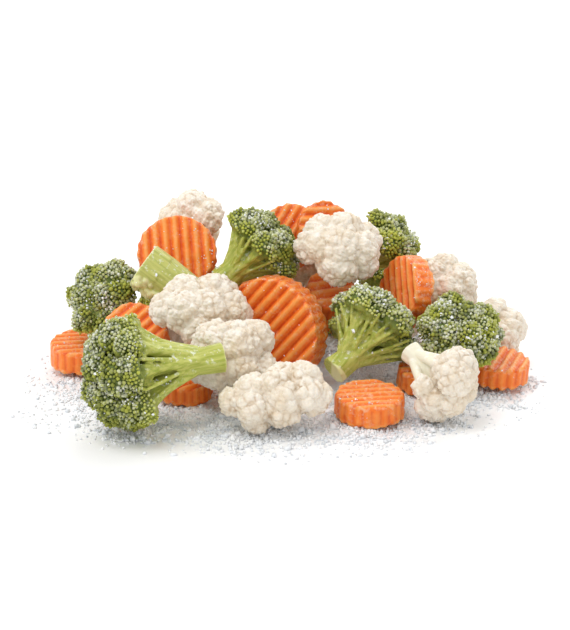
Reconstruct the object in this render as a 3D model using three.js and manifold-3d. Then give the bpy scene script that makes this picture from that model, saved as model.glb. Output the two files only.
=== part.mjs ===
// A heap of frozen mixed vegetables: broccoli and cauliflower florets and crinkle-cut carrot slices,
// lying on a thin bed of loose ice crystals. Millimetres, +Z up, the origin under the middle of the
// heap on the surface it stands on. +X is to the right and +Y to the back, as seen from the front.
import * as THREE from "three";
import { mergeVertices } from "three/addons/utils/BufferGeometryUtils.js";
import Module from "manifold-3d";

// The bed of ice crystals
const BED_THICKNESS = 1.4;
const BED_WIDTH = 186; // along X
const BED_DEPTH = 160; // along Y
const BED_CORNERS = 48;
const CRYSTALS = 64; // the larger ones, less those that a piece would lie on

// How the pieces settle
const GAP = 0.4; // left between pieces that touch, and over the bed
const STEPS = 300;
const SINK = 0.04; // how far a piece sinks in a step
const PULL = 0.1; // the share of its way back to its own place that it goes in a step
const LAST_STEPS = 200; // with no sinking, until nothing overlaps

const GOLDEN_ANGLE = Math.PI * (3 - Math.sqrt(5));

const LOOKS = {
  broccoli: { color: 0x4f7a2c, roughness: 0.65, metalness: 0 },
  cauliflower: { color: 0xf0e8d6, roughness: 0.6, metalness: 0 },
  carrot: { color: 0xee7420, roughness: 0.45, metalness: 0 },
  ice: { color: 0xeef2f5, roughness: 0.3, metalness: 0 },
};

const wasm = await Module();
wasm.setup();

// A repeatable number from 0 to 1 for one detail of one piece.
function chance(seed, index) {
  const wave = Math.sin(seed * 12.9898 + index * 78.233) * 43758.5453;
  return wave - Math.floor(wave);
}

function radians(degrees) {
  return (degrees * Math.PI) / 180;
}

function toSolid(geometry) {
  const bare = geometry.clone();
  bare.deleteAttribute("normal");
  bare.deleteAttribute("uv");
  const merged = mergeVertices(bare, 1e-4);
  return new wasm.Manifold(
    new wasm.Mesh({
      numProp: 3,
      vertProperties: merged.attributes.position.array,
      triVerts: new Uint32Array(merged.index.array),
    }),
  );
}

function toGeometry(solid) {
  const mesh = solid.getMesh();
  const geometry = new THREE.BufferGeometry();
  const points = new Float32Array(mesh.numVert * 3);
  for (let i = 0; i < mesh.numVert; i++) {
    points.set(mesh.vertProperties.subarray(i * mesh.numProp, i * mesh.numProp + 3), i * 3);
  }
  geometry.setAttribute("position", new THREE.BufferAttribute(points, 3));
  geometry.setIndex(new THREE.BufferAttribute(new Uint32Array(mesh.triVerts), 1));
  return geometry;
}

// The round lobes that a floret's crown is made of, spread over a dome by the golden angle.
function crownLobes(floret) {
  const lobes = [];
  const reach = radians(floret.reach);
  for (let k = 0; k < floret.lobes; k++) {
    const share = (k + 0.5) / floret.lobes;
    const cosine = 1 - share * (1 - Math.cos(reach));
    const sine = Math.sqrt(1 - cosine * cosine);
    const turn = k * GOLDEN_ANGLE + 0.7 * chance(floret.seed, k);
    const radius = floret.lobe * (0.82 + 0.36 * chance(floret.seed, k + 50));
    const centre = new THREE.Vector3(
      (floret.width / 2 - radius) * sine * Math.cos(turn),
      (floret.depth / 2 - radius) * sine * Math.sin(turn),
      (floret.height - radius) * cosine,
    );
    lobes.push({ centre, radius });
  }
  return lobes;
}

// The half widths of the crown's core, inside its lobes: X, Y, up and down.
function coreSizes(floret) {
  return {
    x: floret.core * (floret.width / 2),
    y: floret.core * (floret.depth / 2),
    up: floret.core * floret.height,
    down: floret.under * floret.height,
  };
}

// How far the crown reaches from its centre along a ray: to the furthest lobe, or to the core.
function crownReach(ray, lobes, core) {
  let reach = 1 / Math.hypot(ray.x / core.x, ray.y / core.y, ray.z / (ray.z > 0 ? core.up : core.down));
  for (const lobe of lobes) {
    const ahead = ray.dot(lobe.centre);
    const inside = ahead * ahead - lobe.centre.lengthSq() + lobe.radius * lobe.radius;
    if (inside > 0) reach = Math.max(reach, ahead + Math.sqrt(inside));
  }
  return reach;
}

function crownSolid(floret, lobes) {
  const core = coreSizes(floret);
  const geometry = new THREE.IcosahedronGeometry(1, floret.facets);
  const position = geometry.getAttribute("position");
  const ray = new THREE.Vector3();
  for (let i = 0; i < position.count; i++) {
    ray.fromBufferAttribute(position, i).normalize();
    ray.multiplyScalar(crownReach(ray, lobes, core));
    position.setXYZ(i, ray.x, ray.y, ray.z);
  }
  return toSolid(geometry);
}

// The limbs of a floret: its stalk, and the branches that fork from it to some of the lobes.
function floretLimbs(floret, lobes) {
  const cut = new THREE.Vector3(floret.lean[0], floret.lean[1], -floret.stalk);
  const neck = new THREE.Vector3(0, 0, 0);
  const wide = floret.stalkWide / 2;
  const limbs = [{ from: cut, to: neck, fromRadius: wide, toRadius: wide * floret.flare, sides: 8 }];
  const fork = new THREE.Vector3().lerpVectors(cut, neck, floret.fork);
  for (const k of floret.branches) {
    limbs.push({
      from: fork,
      to: lobes[k].centre,
      fromRadius: wide * 0.5,
      toRadius: lobes[k].radius * 0.5,
      sides: 6,
    });
  }
  return limbs;
}

function limbSolid({ from, to, fromRadius, toRadius, sides }) {
  const along = new THREE.Vector3().subVectors(to, from);
  const geometry = new THREE.CylinderGeometry(toRadius, fromRadius, along.length(), sides);
  const upright = new THREE.Vector3(0, 1, 0);
  geometry.applyQuaternion(
    new THREE.Quaternion().setFromUnitVectors(upright, along.clone().normalize()),
  );
  geometry.translate((from.x + to.x) / 2, (from.y + to.y) / 2, (from.z + to.z) / 2);
  return toSolid(geometry);
}

// Balls that fill a limb, for finding what it touches.
function limbBalls({ from, to, fromRadius, toRadius }) {
  const count = Math.ceil(from.distanceTo(to) / (0.7 * fromRadius)) + 1;
  const balls = [];
  for (let i = 0; i < count; i++) {
    const share = (0.35 + (i / (count - 1)) * (count - 1.35)) / count;
    const radius = 1.06 * THREE.MathUtils.lerp(fromRadius, toRadius, share);
    balls.push({ centre: new THREE.Vector3().lerpVectors(from, to, share), radius });
  }
  return balls;
}

function coreBalls(floret) {
  const core = coreSizes(floret);
  const radius = Math.min(core.x, core.y, core.up);
  const lift = core.up - radius;
  return [
    [core.x - radius, 0],
    [radius - core.x, 0],
    [0, core.y - radius],
    [0, radius - core.y],
  ].map(([x, y]) => ({ centre: new THREE.Vector3(x, y, lift), radius }));
}

// Fills any hollow that joining has sealed: it is a shell of its own, with its faces turned inward.
function filled(solid) {
  const [first, ...others] = solid.decompose().filter((shell) => shell.volume() > 0);
  return others.reduce((whole, shell) => whole.add(shell), first);
}

// A floret stands along its own Z: the crown's centre at the origin, the cut end of the stalk below.
function makeFloret(floret) {
  const lobes = crownLobes(floret);
  const limbs = floretLimbs(floret, lobes);
  const whole = limbs.reduce((solid, one) => solid.add(limbSolid(one)), crownSolid(floret, lobes));
  return {
    geometry: toGeometry(filled(whole)),
    balls: [...lobes, ...coreBalls(floret), ...limbs.flatMap(limbBalls)],
  };
}

// A crinkle-cut slice lies flat: a wavy band, cut round by the carrot's own outline.
function makeSlice(slice) {
  const radius = slice.diameter / 2;
  const pitch = slice.diameter / slice.ridges;
  const { sides, steps } = slice;
  const wave = [];
  const first = -Math.ceil((slice.ridges / 2 + 1) * steps);
  for (let i = first; i <= -first; i++) {
    wave.push([(i / steps) * pitch, slice.crinkle * Math.cos((2 * Math.PI * i) / steps)]);
  }
  const under = wave.map(([x, z]) => new THREE.Vector2(x, z - slice.thickness / 2));
  const over = wave.map(([x, z]) => new THREE.Vector2(x, z + slice.thickness / 2)).reverse();
  const reach = slice.diameter * 1.2;
  const band = new THREE.ExtrudeGeometry(new THREE.Shape([...under, ...over]), {
    depth: reach,
    bevelEnabled: false,
  });
  band.translate(0, 0, -reach / 2);
  band.rotateX(Math.PI / 2);
  const narrow = radius * (1 - slice.taper);
  const round = new THREE.CylinderGeometry(narrow, radius, slice.thickness * 2, sides);
  round.rotateX(Math.PI / 2);
  round.scale(1, slice.oval, 1);
  return {
    geometry: toGeometry(toSolid(band).intersect(toSolid(round))),
    balls: sliceBalls(slice),
  };
}

// Balls in rings that fill a slice.
function sliceBalls(slice) {
  const half = slice.thickness / 2 + slice.crinkle * 0.6;
  const rimOut = slice.diameter / 2 - 0.55 * half;
  const balls = [{ centre: new THREE.Vector3(), radius: half }];
  for (let out = rimOut; out > half / 2; out -= half) {
    const count = Math.ceil((2 * Math.PI * out) / half);
    const radius = out === rimOut ? 1.1 * half : half;
    for (let i = 0; i < count; i++) {
      const turn = (2 * Math.PI * i) / count;
      const centre = new THREE.Vector3(out * Math.cos(turn), out * slice.oval * Math.sin(turn), 0);
      balls.push({ centre, radius });
    }
  }
  return balls;
}

// What the pieces of one kind have in common. Each piece in the list below says what is its own.
const USUAL = {
  broccoli: {
    width: 30, // across the crown
    depth: 29,
    height: 13, // from the crown's centre to its top
    lobes: 9,
    lobe: 6.5, // the usual radius of a lobe
    reach: 84, // degrees from the top of the crown to its last lobe
    core: 0.7, // the part of the crown that its core fills, above its centre
    under: 0.2, // the same below its centre
    stalk: 20, // from the crown's centre to the cut end
    stalkWide: 9,
    flare: 1.2, // how much wider the stalk is in the crown than at its cut end
    lean: [0, 0], // of the cut end, across the stalk
    fork: 0.35, // where the branches leave the stalk, from its cut end up
    branches: [], // the lobes that a branch of its own leads to
    facets: 3,
    loose: false,
    seed: 1,
  },
  cauliflower: {
    width: 27,
    depth: 27,
    height: 12,
    lobes: 8,
    lobe: 6.8,
    reach: 98,
    core: 0.72,
    under: 0.5,
    stalk: 12,
    stalkWide: 12,
    flare: 1,
    lean: [0, 0],
    fork: 0.3,
    branches: [],
    facets: 3,
    loose: false,
    seed: 2,
  },
  carrot: {
    diameter: 26,
    thickness: 6.5,
    ridges: 7,
    crinkle: 0.7, // half the height of a ridge
    taper: 0.04, // how much narrower one face is than the other
    oval: 0.94,
    sides: 18,
    steps: 2, // along each ridge
    loose: false,
  },
};

// One piece: its place, and how it lies. A heading of -90 faces the front, 0 the right and 180 the
// left; a lift of 90 faces up. A floret's crown faces that way, and so does a slice's face.
function lies(kind, name, at, [heading, lift, roll], own) {
  return { ...USUAL[kind], ...own, kind, name, at, heading, lift, roll };
}

// Pieces that find their place round the others, once those lie still
const HIDDEN = { loose: true, facets: 2, sides: 12, ridges: 5 };
const BEHIND = { loose: true, facets: 2, sides: 16, ridges: 6 };
const FINE = { sides: 30, steps: 4 };

const PIECES = [
  // Under the others
  lies("cauliflower", "cauliflower_under_left", [-54, 16, 14], [200, 60, 0], {
    ...HIDDEN, width: 25, depth: 25, height: 11, stalk: 10, seed: 11,
  }),
  lies("cauliflower", "cauliflower_under_middle", [-26, 10, 12], [0, 60, 0], {
    ...HIDDEN, width: 21, depth: 21, height: 10, stalk: 8, seed: 12,
  }),
  lies("broccoli", "broccoli_under_middle", [4, 17, 13], [30, 60, 0], {
    ...HIDDEN, width: 26, depth: 25, stalk: 15, seed: 13,
  }),
  lies("cauliflower", "cauliflower_under_right", [44, 16, 13], [20, 70, 0], {
    ...HIDDEN, width: 25, depth: 24, seed: 14,
  }),
  lies("carrot", "carrot_inside_left", [-44, 38, 31], [170, 75, 20], { ...HIDDEN }),
  lies("carrot", "carrot_inside_middle", [-4, 32, 26], [-90, 45, 20], { ...HIDDEN, diameter: 23 }),
  // Round the back
  lies("broccoli", "broccoli_back_left", [-40, 54, 15], [130, 65, 0], {
    ...BEHIND, width: 28, stalk: 14, seed: 15,
  }),
  lies("cauliflower", "cauliflower_back", [-8, 52, 14], [100, 40, 40], { ...BEHIND, seed: 16 }),
  lies("carrot", "carrot_back_flat", [18, 60, 5], [0, 88, 20], { ...BEHIND, diameter: 27 }),
  lies("broccoli", "broccoli_back_right", [40, 46, 15], [60, 30, 0], { ...BEHIND, seed: 17 }),
  lies("carrot", "carrot_back_right", [62, 38, 6], [40, 80, 50], { ...BEHIND }),
  lies("carrot", "carrot_back_leaning", [-62, 44, 6], [165, 78, 10], { ...BEHIND, diameter: 26 }),
  lies("cauliflower", "cauliflower_high_back", [11, 37, 30], [80, 40, 0], {
    ...HIDDEN, width: 25, depth: 25, seed: 35,
  }),
  // On the bed, in front
  lies("carrot", "carrot_flat_left", [-72, 14, 5.2], [-90, 86, 10], {
    diameter: 26, thickness: 7.5,
  }),
  lies("carrot", "carrot_low_left", [-33, -24, 5], [-80, 80, 30], { diameter: 20, ridges: 6 }),
  lies("carrot", "carrot_flat_front", [26, -36, 5.2], [-90, 86, 8], {
    diameter: 25, thickness: 7, ...FINE,
  }),
  lies("carrot", "carrot_low_middle", [49, -14, 6], [-80, 80, 0], { diameter: 19, ridges: 5 }),
  lies("carrot", "carrot_flat_right", [71, -4, 5.2], [-60, 82, 40], { diameter: 23, thickness: 7 }),
  lies("cauliflower", "cauliflower_right", [74, 17, 13], [-30, 50, 0], {
    width: 25, depth: 24, height: 11, lobe: 6, stalk: 10, seed: 18,
  }),
  lies("cauliflower", "cauliflower_front", [-2.7, -52, 12], [-90, 30, 15], {
    width: 22, depth: 39, height: 11, lobes: 11, lobe: 6.2, stalk: 9, seed: 20, facets: 4,
  }),
  lies("cauliflower", "cauliflower_front_right", [51, -44, 14], [-50, -25, 0], {
    width: 29, depth: 28, height: 12, stalk: 16, stalkWide: 9, seed: 21, facets: 4,
  }),
  lies("broccoli", "broccoli_right", [57, -9, 13], [-75, 40, 0], {
    width: 31, depth: 33, height: 12, lobes: 12, lobe: 6.2, stalk: 13, seed: 22,
  }),
  lies("broccoli", "broccoli_standing", [24, -18, 18], [50, 35, 0], {
    width: 39, depth: 38, height: 14, lobes: 12, lobe: 6.4, stalk: 18, stalkWide: 10,
    branches: [5, 7, 8, 9, 10, 11], seed: 23, facets: 4,
  }),
  lies("carrot", "carrot_big_front", [2, -6, 24.5], [-118, 8, 50], {
    diameter: 39, thickness: 8, ridges: 10, crinkle: 0.9, ...FINE,
  }),
  lies("cauliflower", "cauliflower_centre", [-19, -33, 20], [-70, 15, 0], {
    width: 33, depth: 34, height: 13, lobes: 9, lobe: 7.2, stalk: 10, seed: 24,
  }),
  lies("broccoli", "broccoli_front_left", [-50, -50, 20], [195, -6, 0], {
    width: 40, depth: 38, height: 18, lobes: 18, lobe: 7, reach: 98, stalk: 30, stalkWide: 10,
    branches: [12, 13, 14, 15, 16, 17], seed: 25, facets: 4,
  }),
  lies("carrot", "carrot_middle_left", [-39, -12, 18.5], [-95, 40, 45], {
    loose: true, diameter: 24,
  }),
  lies("broccoli", "broccoli_left", [-57, 15, 30], [-110, 45, 0], {
    width: 32, depth: 30, lobes: 11, seed: 26,
  }),
  lies("cauliflower", "cauliflower_middle", [-25, -1, 28], [-60, 50, 0], {
    width: 28, depth: 38, lobes: 9, stalk: 11, seed: 27,
  }),
  lies("carrot", "carrot_middle_right", [30, 8, 27], [-60, 60, 0], { ...HIDDEN, diameter: 21 }),
  lies("cauliflower", "cauliflower_back_right", [59, 20, 29], [-30, 50, 0], {
    width: 25, depth: 25, height: 11, stalk: 10, seed: 28,
  }),
  lies("carrot", "carrot_right", [43, -1, 29], [-155, 12, 120], { diameter: 27, ...FINE }),
  lies("broccoli", "broccoli_top_right", [35, 27, 44], [0, 25, 0], {
    width: 30, depth: 28, height: 12, lobes: 10, lobe: 5.8, stalk: 15, stalkWide: 7, seed: 30,
  }),
  lies("broccoli", "broccoli_cut_stalk", [-35, 8, 25.5], [-10, -35, 0], {
    width: 17, depth: 16, height: 7, lobe: 5, stalk: 20, stalkWide: 16, flare: 0.9, seed: 31,
    facets: 2,
  }),
  lies("carrot", "carrot_upper_left", [-42, 20, 40], [-90, 28, 95], { diameter: 29, ridges: 8 }),
  lies("cauliflower", "cauliflower_top_left", [-34, 46, 45.5], [200, 40, 0], {
    width: 31, depth: 29, height: 13, lobe: 7, stalk: 9, seed: 32,
  }),
  lies("broccoli", "broccoli_top", [-7, 15, 43], [10, 42, 0], {
    width: 33, depth: 32, lobes: 11, lobe: 6.2, stalk: 18, stalkWide: 11,
    branches: [6, 7, 8, 9, 10], seed: 33, facets: 4,
  }),
  lies("carrot", "carrot_top", [3, 31, 47], [-90, 30, 60], { diameter: 24 }),
  lies("cauliflower", "cauliflower_top", [18, 8, 47], [-85, 50, 0], {
    width: 29, depth: 31, height: 13, lobes: 9, lobe: 7, seed: 34,
  }),
  lies("carrot", "carrot_top_back", [15, 31, 45], [-80, 30, 0], {
    diameter: 21, sides: 16, ridges: 6,
  }),
];

// The turn that points a piece's own +Z along a heading and a lift, after rolling it about that +Z.
function facing({ heading, lift, roll }) {
  const about = (x, y, z, degrees) =>
    new THREE.Quaternion().setFromAxisAngle(new THREE.Vector3(x, y, z), radians(degrees));
  return about(0, 0, 1, heading)
    .multiply(about(0, 1, 0, 90 - lift))
    .multiply(about(0, 0, 1, roll));
}

// A piece at its own place, turned, with its balls and how far they reach.
function stand(piece) {
  const { geometry, balls } = MAKERS[piece.kind](piece);
  const turn = facing(piece);
  const turned = balls.map(({ centre, radius }) => ({
    centre: centre.clone().applyQuaternion(turn),
    radius,
  }));
  const reach = Math.max(...turned.map(({ centre, radius }) => centre.length() + radius));
  const position = geometry.getAttribute("position");
  const corner = new THREE.Vector3();
  let foot = 0;
  for (let i = 0; i < position.count; i++) {
    foot = Math.min(foot, corner.fromBufferAttribute(position, i).applyQuaternion(turn).z);
  }
  return { ...piece, geometry, turn, balls: turned, reach, foot, place: new THREE.Vector3(...piece.at) };
}

// Pushes two pieces apart where their balls come closer than the gap. The second moves by its share.
function pushApart(a, b, share) {
  if (a.place.distanceTo(b.place) > a.reach + b.reach + GAP) return;
  const offset = new THREE.Vector3().subVectors(b.place, a.place);
  const push = new THREE.Vector3();
  const between = new THREE.Vector3();
  let deepest = 0;
  for (const one of a.balls) {
    for (const other of b.balls) {
      between.addVectors(offset, other.centre).sub(one.centre);
      const deep = one.radius + other.radius + GAP - between.length();
      if (deep > deepest) {
        deepest = deep;
        push.copy(between).normalize().multiplyScalar(deep);
      }
    }
  }
  a.place.addScaledVector(push, share - 1);
  b.place.addScaledVector(push, share);
}

// Lets pieces sink and slide into place round those that lie still, each drawn back to where it was
// put. In the last steps they only move apart, until nothing overlaps.
function settle(pieces, still) {
  const floor = BED_THICKNESS + GAP;
  for (let step = 0; step < STEPS + LAST_STEPS; step++) {
    if (step < STEPS) {
      for (const piece of pieces) {
        piece.place.lerp(new THREE.Vector3(...piece.at), PULL);
        piece.place.z -= SINK;
      }
    }
    for (let i = 0; i < pieces.length; i++) {
      for (let j = i + 1; j < pieces.length; j++) pushApart(pieces[i], pieces[j], 0.5);
    }
    for (const piece of pieces) {
      for (const other of still) pushApart(other, piece, 1);
      piece.place.z = Math.max(piece.place.z, floor - piece.foot);
    }
  }
}

// The uneven rim of the bed of ice crystals, as wide and as deep as the bed.
function bedRim() {
  const rim = [];
  for (let i = 0; i < BED_CORNERS; i++) {
    const turn = (2 * Math.PI * i) / BED_CORNERS;
    const out =
      1 - 0.03 * Math.cos(4 * turn) + 0.025 * Math.sin(5 * turn + 2.1) + 0.015 * Math.sin(11 * turn);
    rim.push(new THREE.Vector2(out * Math.cos(turn), out * Math.sin(turn)));
  }
  const box = new THREE.Box2().setFromPoints(rim);
  const scale = new THREE.Vector2(BED_WIDTH, BED_DEPTH).divide(box.getSize(new THREE.Vector2()));
  const middle = box.getCenter(new THREE.Vector2());
  return rim.map((corner) => corner.sub(middle).multiply(scale));
}

// One layer of ice crystals, with the larger crystals fused on top of it where no piece lies.
function bedGeometry(pieces) {
  const rim = bedRim();
  const layer = new THREE.ExtrudeGeometry(new THREE.Shape(rim), {
    depth: BED_THICKNESS,
    bevelEnabled: false,
  });
  let solid = toSolid(layer);
  for (let i = 0; i < CRYSTALS; i++) {
    const corner = rim[(i * 7) % BED_CORNERS];
    const out = 0.6 + 0.34 * chance(3, i);
    const size = 1.1 + 1.3 * chance(4, i);
    const spot = new THREE.Vector3(out * corner.x, out * corner.y, BED_THICKNESS + 0.2 * size);
    const covered = pieces.some(({ place, balls }) =>
      balls.some(({ centre, radius }) => centre.clone().add(place).distanceTo(spot) < radius + size + 0.8),
    );
    if (covered) continue;
    const crystal = new THREE.OctahedronGeometry(size);
    crystal.rotateX(3 * chance(5, i));
    crystal.rotateZ(6 * chance(6, i));
    crystal.scale(1, 1, 0.7);
    crystal.translate(spot.x, spot.y, spot.z);
    solid = solid.add(toSolid(crystal));
  }
  return toGeometry(solid);
}

const MAKERS = { broccoli: makeFloret, cauliflower: makeFloret, carrot: makeSlice };
const MATERIALS = {};
for (const [kind, look] of Object.entries(LOOKS)) {
  MATERIALS[kind] = new THREE.MeshStandardMaterial(look);
}

const pieces = PIECES.map(stand);
const firm = pieces.filter((piece) => !piece.loose);
const loose = pieces.filter((piece) => piece.loose);
settle(firm, []);
settle(loose, firm);

const heap = new THREE.Group();
for (const piece of pieces) {
  const mesh = new THREE.Mesh(piece.geometry, MATERIALS[piece.kind]);
  mesh.name = piece.name;
  mesh.quaternion.copy(piece.turn);
  mesh.position.copy(piece.place);
  heap.add(mesh);
}
const bed = new THREE.Mesh(bedGeometry(pieces), MATERIALS.ice);
bed.name = "ice_crystals";
heap.add(bed);

export default heap;
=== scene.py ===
"""The looks of a heap of frozen mixed vegetables on its bed of loose ice crystals.

Each vegetable is modelled in millimetres about its own origin, turned as its solid is, and put where
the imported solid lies. The ice and the frost are scattered over what is there.
"""

import logging
import math
from dataclasses import dataclass, field
from enum import Enum

import bmesh
import bpy
import numpy as np
from mathutils import Matrix, Vector, kdtree, noise


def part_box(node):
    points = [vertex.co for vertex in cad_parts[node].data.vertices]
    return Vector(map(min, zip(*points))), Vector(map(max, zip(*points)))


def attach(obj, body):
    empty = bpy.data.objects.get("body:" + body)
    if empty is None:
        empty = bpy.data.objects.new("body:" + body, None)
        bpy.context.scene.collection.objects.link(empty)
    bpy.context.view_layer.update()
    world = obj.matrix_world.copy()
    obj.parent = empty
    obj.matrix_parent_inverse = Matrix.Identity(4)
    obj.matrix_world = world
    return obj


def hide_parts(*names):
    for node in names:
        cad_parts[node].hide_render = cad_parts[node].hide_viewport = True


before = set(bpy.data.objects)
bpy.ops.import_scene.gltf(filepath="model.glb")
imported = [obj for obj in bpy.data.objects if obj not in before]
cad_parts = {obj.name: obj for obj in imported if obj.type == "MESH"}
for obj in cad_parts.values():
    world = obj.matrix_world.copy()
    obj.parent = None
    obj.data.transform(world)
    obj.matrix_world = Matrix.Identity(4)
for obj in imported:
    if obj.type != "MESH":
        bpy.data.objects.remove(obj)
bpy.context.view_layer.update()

LOG = logging.getLogger("frozen_vegetables")
MM = 0.001
MM_PER_METRE = 1000.0
GOLDEN_ANGLE = math.pi * (3 - math.sqrt(5))

# The bed of ice, as the solid has it
BED_WIDTH = 186.0
BED_DEPTH = 160.0
BED_CORNERS = 48

# How the lobes of a crown vary, as the solids have it
LOBE_TURN = 0.7
LOBE_LEAST = 0.82
LOBE_SPAN = 0.36
LOBE_DRAW = 50

# Places on balls
HEXAGON = 0.87  # the room that a place takes up, as a share of its spacing squared
NEAREST = 0.72  # how near two places may be, as a share of their spacing
FAR = 9.0  # a distance that never counts

# Stems
FLUTED_SIDES = 36
ROUND_SIDES = 14
RIBS = 5
FINE_RIBS = 11


class Detail(Enum):
    """How finely a vegetable is modelled, by how much of it shows: the grain of its skin in mm."""

    HIDDEN = 0.62
    SHOWN = 0.4


# Numbers and points


def chance(seed: float, index: float) -> float:
    """Gives a repeatable number from 0 to 1 for one detail of one piece.

    Args:
        seed: The piece's own number.
        index: Which detail of it.

    Returns:
        The number, the same each time.
    """
    wave = math.sin(seed * 12.9898 + index * 78.233) * 43758.5453
    return wave - math.floor(wave)


def around_ball(count: int) -> np.ndarray:
    """Spreads directions evenly over a ball by the golden angle.

    Args:
        count: How many directions.

    Returns:
        Unit vectors, one a row.
    """
    step = np.arange(count) + 0.5
    up = 1 - 2 * step / count
    side = np.sqrt(1 - up * up)
    turn = step * GOLDEN_ANGLE
    return np.stack([side * np.cos(turn), side * np.sin(turn), up], 1)


def unit(vectors: np.ndarray) -> np.ndarray:
    """Scales each row to a length of 1."""
    return vectors / np.maximum(np.linalg.norm(vectors, axis=1, keepdims=True), 1e-9)


def upright_turns(normals: np.ndarray, rng: np.random.Generator) -> np.ndarray:
    """Makes turns that stand a form's own Z along each normal, rolled at random about it.

    Args:
        normals: Unit vectors, one a row.
        rng: The source of the rolls.

    Returns:
        One 3 by 3 matrix for each normal.
    """
    spin = rng.normal(size=normals.shape)
    across = unit(np.cross(normals, spin))
    along = np.cross(normals, across)
    return np.stack([across, along, normals], 2)


def smooth_step(values: np.ndarray, low: float, high: float) -> np.ndarray:
    """Rises smoothly from 0 at low to 1 at high."""
    share = np.clip((values - low) / (high - low), 0, 1)
    return share * share * (3 - 2 * share)


def patches(points: np.ndarray, size: float, shift: float = 0.0) -> np.ndarray:
    """Gives soft random patches in space, such as frost gathers in.

    Args:
        points: Places in millimetres, one a row.
        size: How wide a patch is, in millimetres.
        shift: Moves the pattern, so that two of them differ.

    Returns:
        A number from about -1 to 1 for each point.
    """
    scaled = points / size + shift
    return np.array([noise.noise(Vector(place)) for place in scaled])


# Shells: points and triangles, with marks that the finishes read


@dataclass
class Shell:
    """A closed mesh as arrays, with marks at its points that its finish reads, and that finish's number."""

    points: np.ndarray
    faces: np.ndarray
    marks: dict[str, np.ndarray] = field(default_factory=dict)
    finish: int = 0

    def placed(self, turn: np.ndarray, shift: np.ndarray) -> "Shell":
        """Turns the shell about its origin, and then moves it."""
        return Shell(self.points @ turn.T + shift, self.faces, self.marks, self.finish)


def shell_of(form: bmesh.types.BMesh) -> Shell:
    """Reads a bmesh as a shell and frees it.

    Args:
        form: The bmesh.

    Returns:
        Its points and triangles.
    """
    bmesh.ops.triangulate(form, faces=form.faces[:])
    form.verts.index_update()
    points = np.array([corner.co[:] for corner in form.verts])
    faces = np.array([[corner.index for corner in face.verts] for face in form.faces])
    form.free()
    return Shell(points, faces)


def in_order(faces: np.ndarray) -> np.ndarray:
    """Puts triangles in one fixed order, because the sphere operator's own differs from run to run.

    Args:
        faces: The triangles.

    Returns:
        The same triangles, each from its lowest corner on and facing as before.
    """
    rows = np.arange(len(faces))
    lowest = faces.argmin(axis=1)
    turned = np.stack([faces[rows, (lowest + step) % 3] for step in range(3)], 1)
    return turned[np.lexsort(turned.T[::-1])]


def pressed_ball(around: int, down: int) -> tuple[Shell, np.ndarray, np.ndarray]:
    """Makes a ball of radius 1, for pressing to another form.

    Args:
        around: How many sides it has round its Z.
        down: How many rings it has from pole to pole.

    Returns:
        The ball, and for each of its points the turn round Z and the share of the way down.
    """
    form = bmesh.new()
    bmesh.ops.create_uvsphere(form, u_segments=around, v_segments=down, radius=1)
    ball = shell_of(form)
    ball.faces = in_order(ball.faces)
    points = ball.points
    turns = np.arctan2(points[:, 1], points[:, 0])
    return ball, turns, np.arccos(np.clip(points[:, 2], -1, 1)) / math.pi


def joined(shells: list[Shell]) -> tuple[np.ndarray, np.ndarray, np.ndarray]:
    """Joins shells end to end.

    Args:
        shells: What to join.

    Returns:
        Their points, their triangles and the finish number of each triangle.
    """
    starts = np.cumsum([0] + [len(shell.points) for shell in shells])
    points = np.concatenate([shell.points for shell in shells])
    faces = np.concatenate([shell.faces + start for shell, start in zip(shells, starts)])
    finishes = np.concatenate([np.full(len(shell.faces), shell.finish) for shell in shells])
    return points, faces, finishes


def copies(form: Shell, places: np.ndarray, turns: np.ndarray, sizes: np.ndarray) -> Shell:
    """Repeats one small form, each copy turned, sized and placed.

    Args:
        form: The form that is repeated, about its own origin.
        places: Where each copy goes.
        turns: How each copy is turned.
        sizes: How large each copy is along its own X, Y and Z.

    Returns:
        All the copies as one shell.
    """
    grown = form.points[None, :, :] * sizes[:, None, :]
    points = np.einsum("nij,nkj->nki", turns, grown) + places[:, None, :]
    starts = np.arange(len(places))[:, None, None] * len(form.points)
    faces = (form.faces[None, :, :] + starts).reshape(-1, 3)
    return Shell(points.reshape(-1, 3), faces, {}, form.finish)


def fill_mesh(mesh: bpy.types.Mesh, points: np.ndarray, faces: np.ndarray) -> None:
    """Gives an empty mesh its points and triangles.

    Args:
        mesh: The mesh.
        points: Its points.
        faces: Its triangles.
    """
    mesh.vertices.add(len(points))
    mesh.vertices.foreach_set("co", points.astype(np.float32).ravel())
    mesh.loops.add(len(faces) * 3)
    mesh.loops.foreach_set("vertex_index", faces.astype(np.int32).ravel())
    mesh.polygons.add(len(faces))
    mesh.polygons.foreach_set("loop_start", np.arange(len(faces), dtype=np.int32) * 3)
    mesh.update(calc_edges=True)


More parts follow.
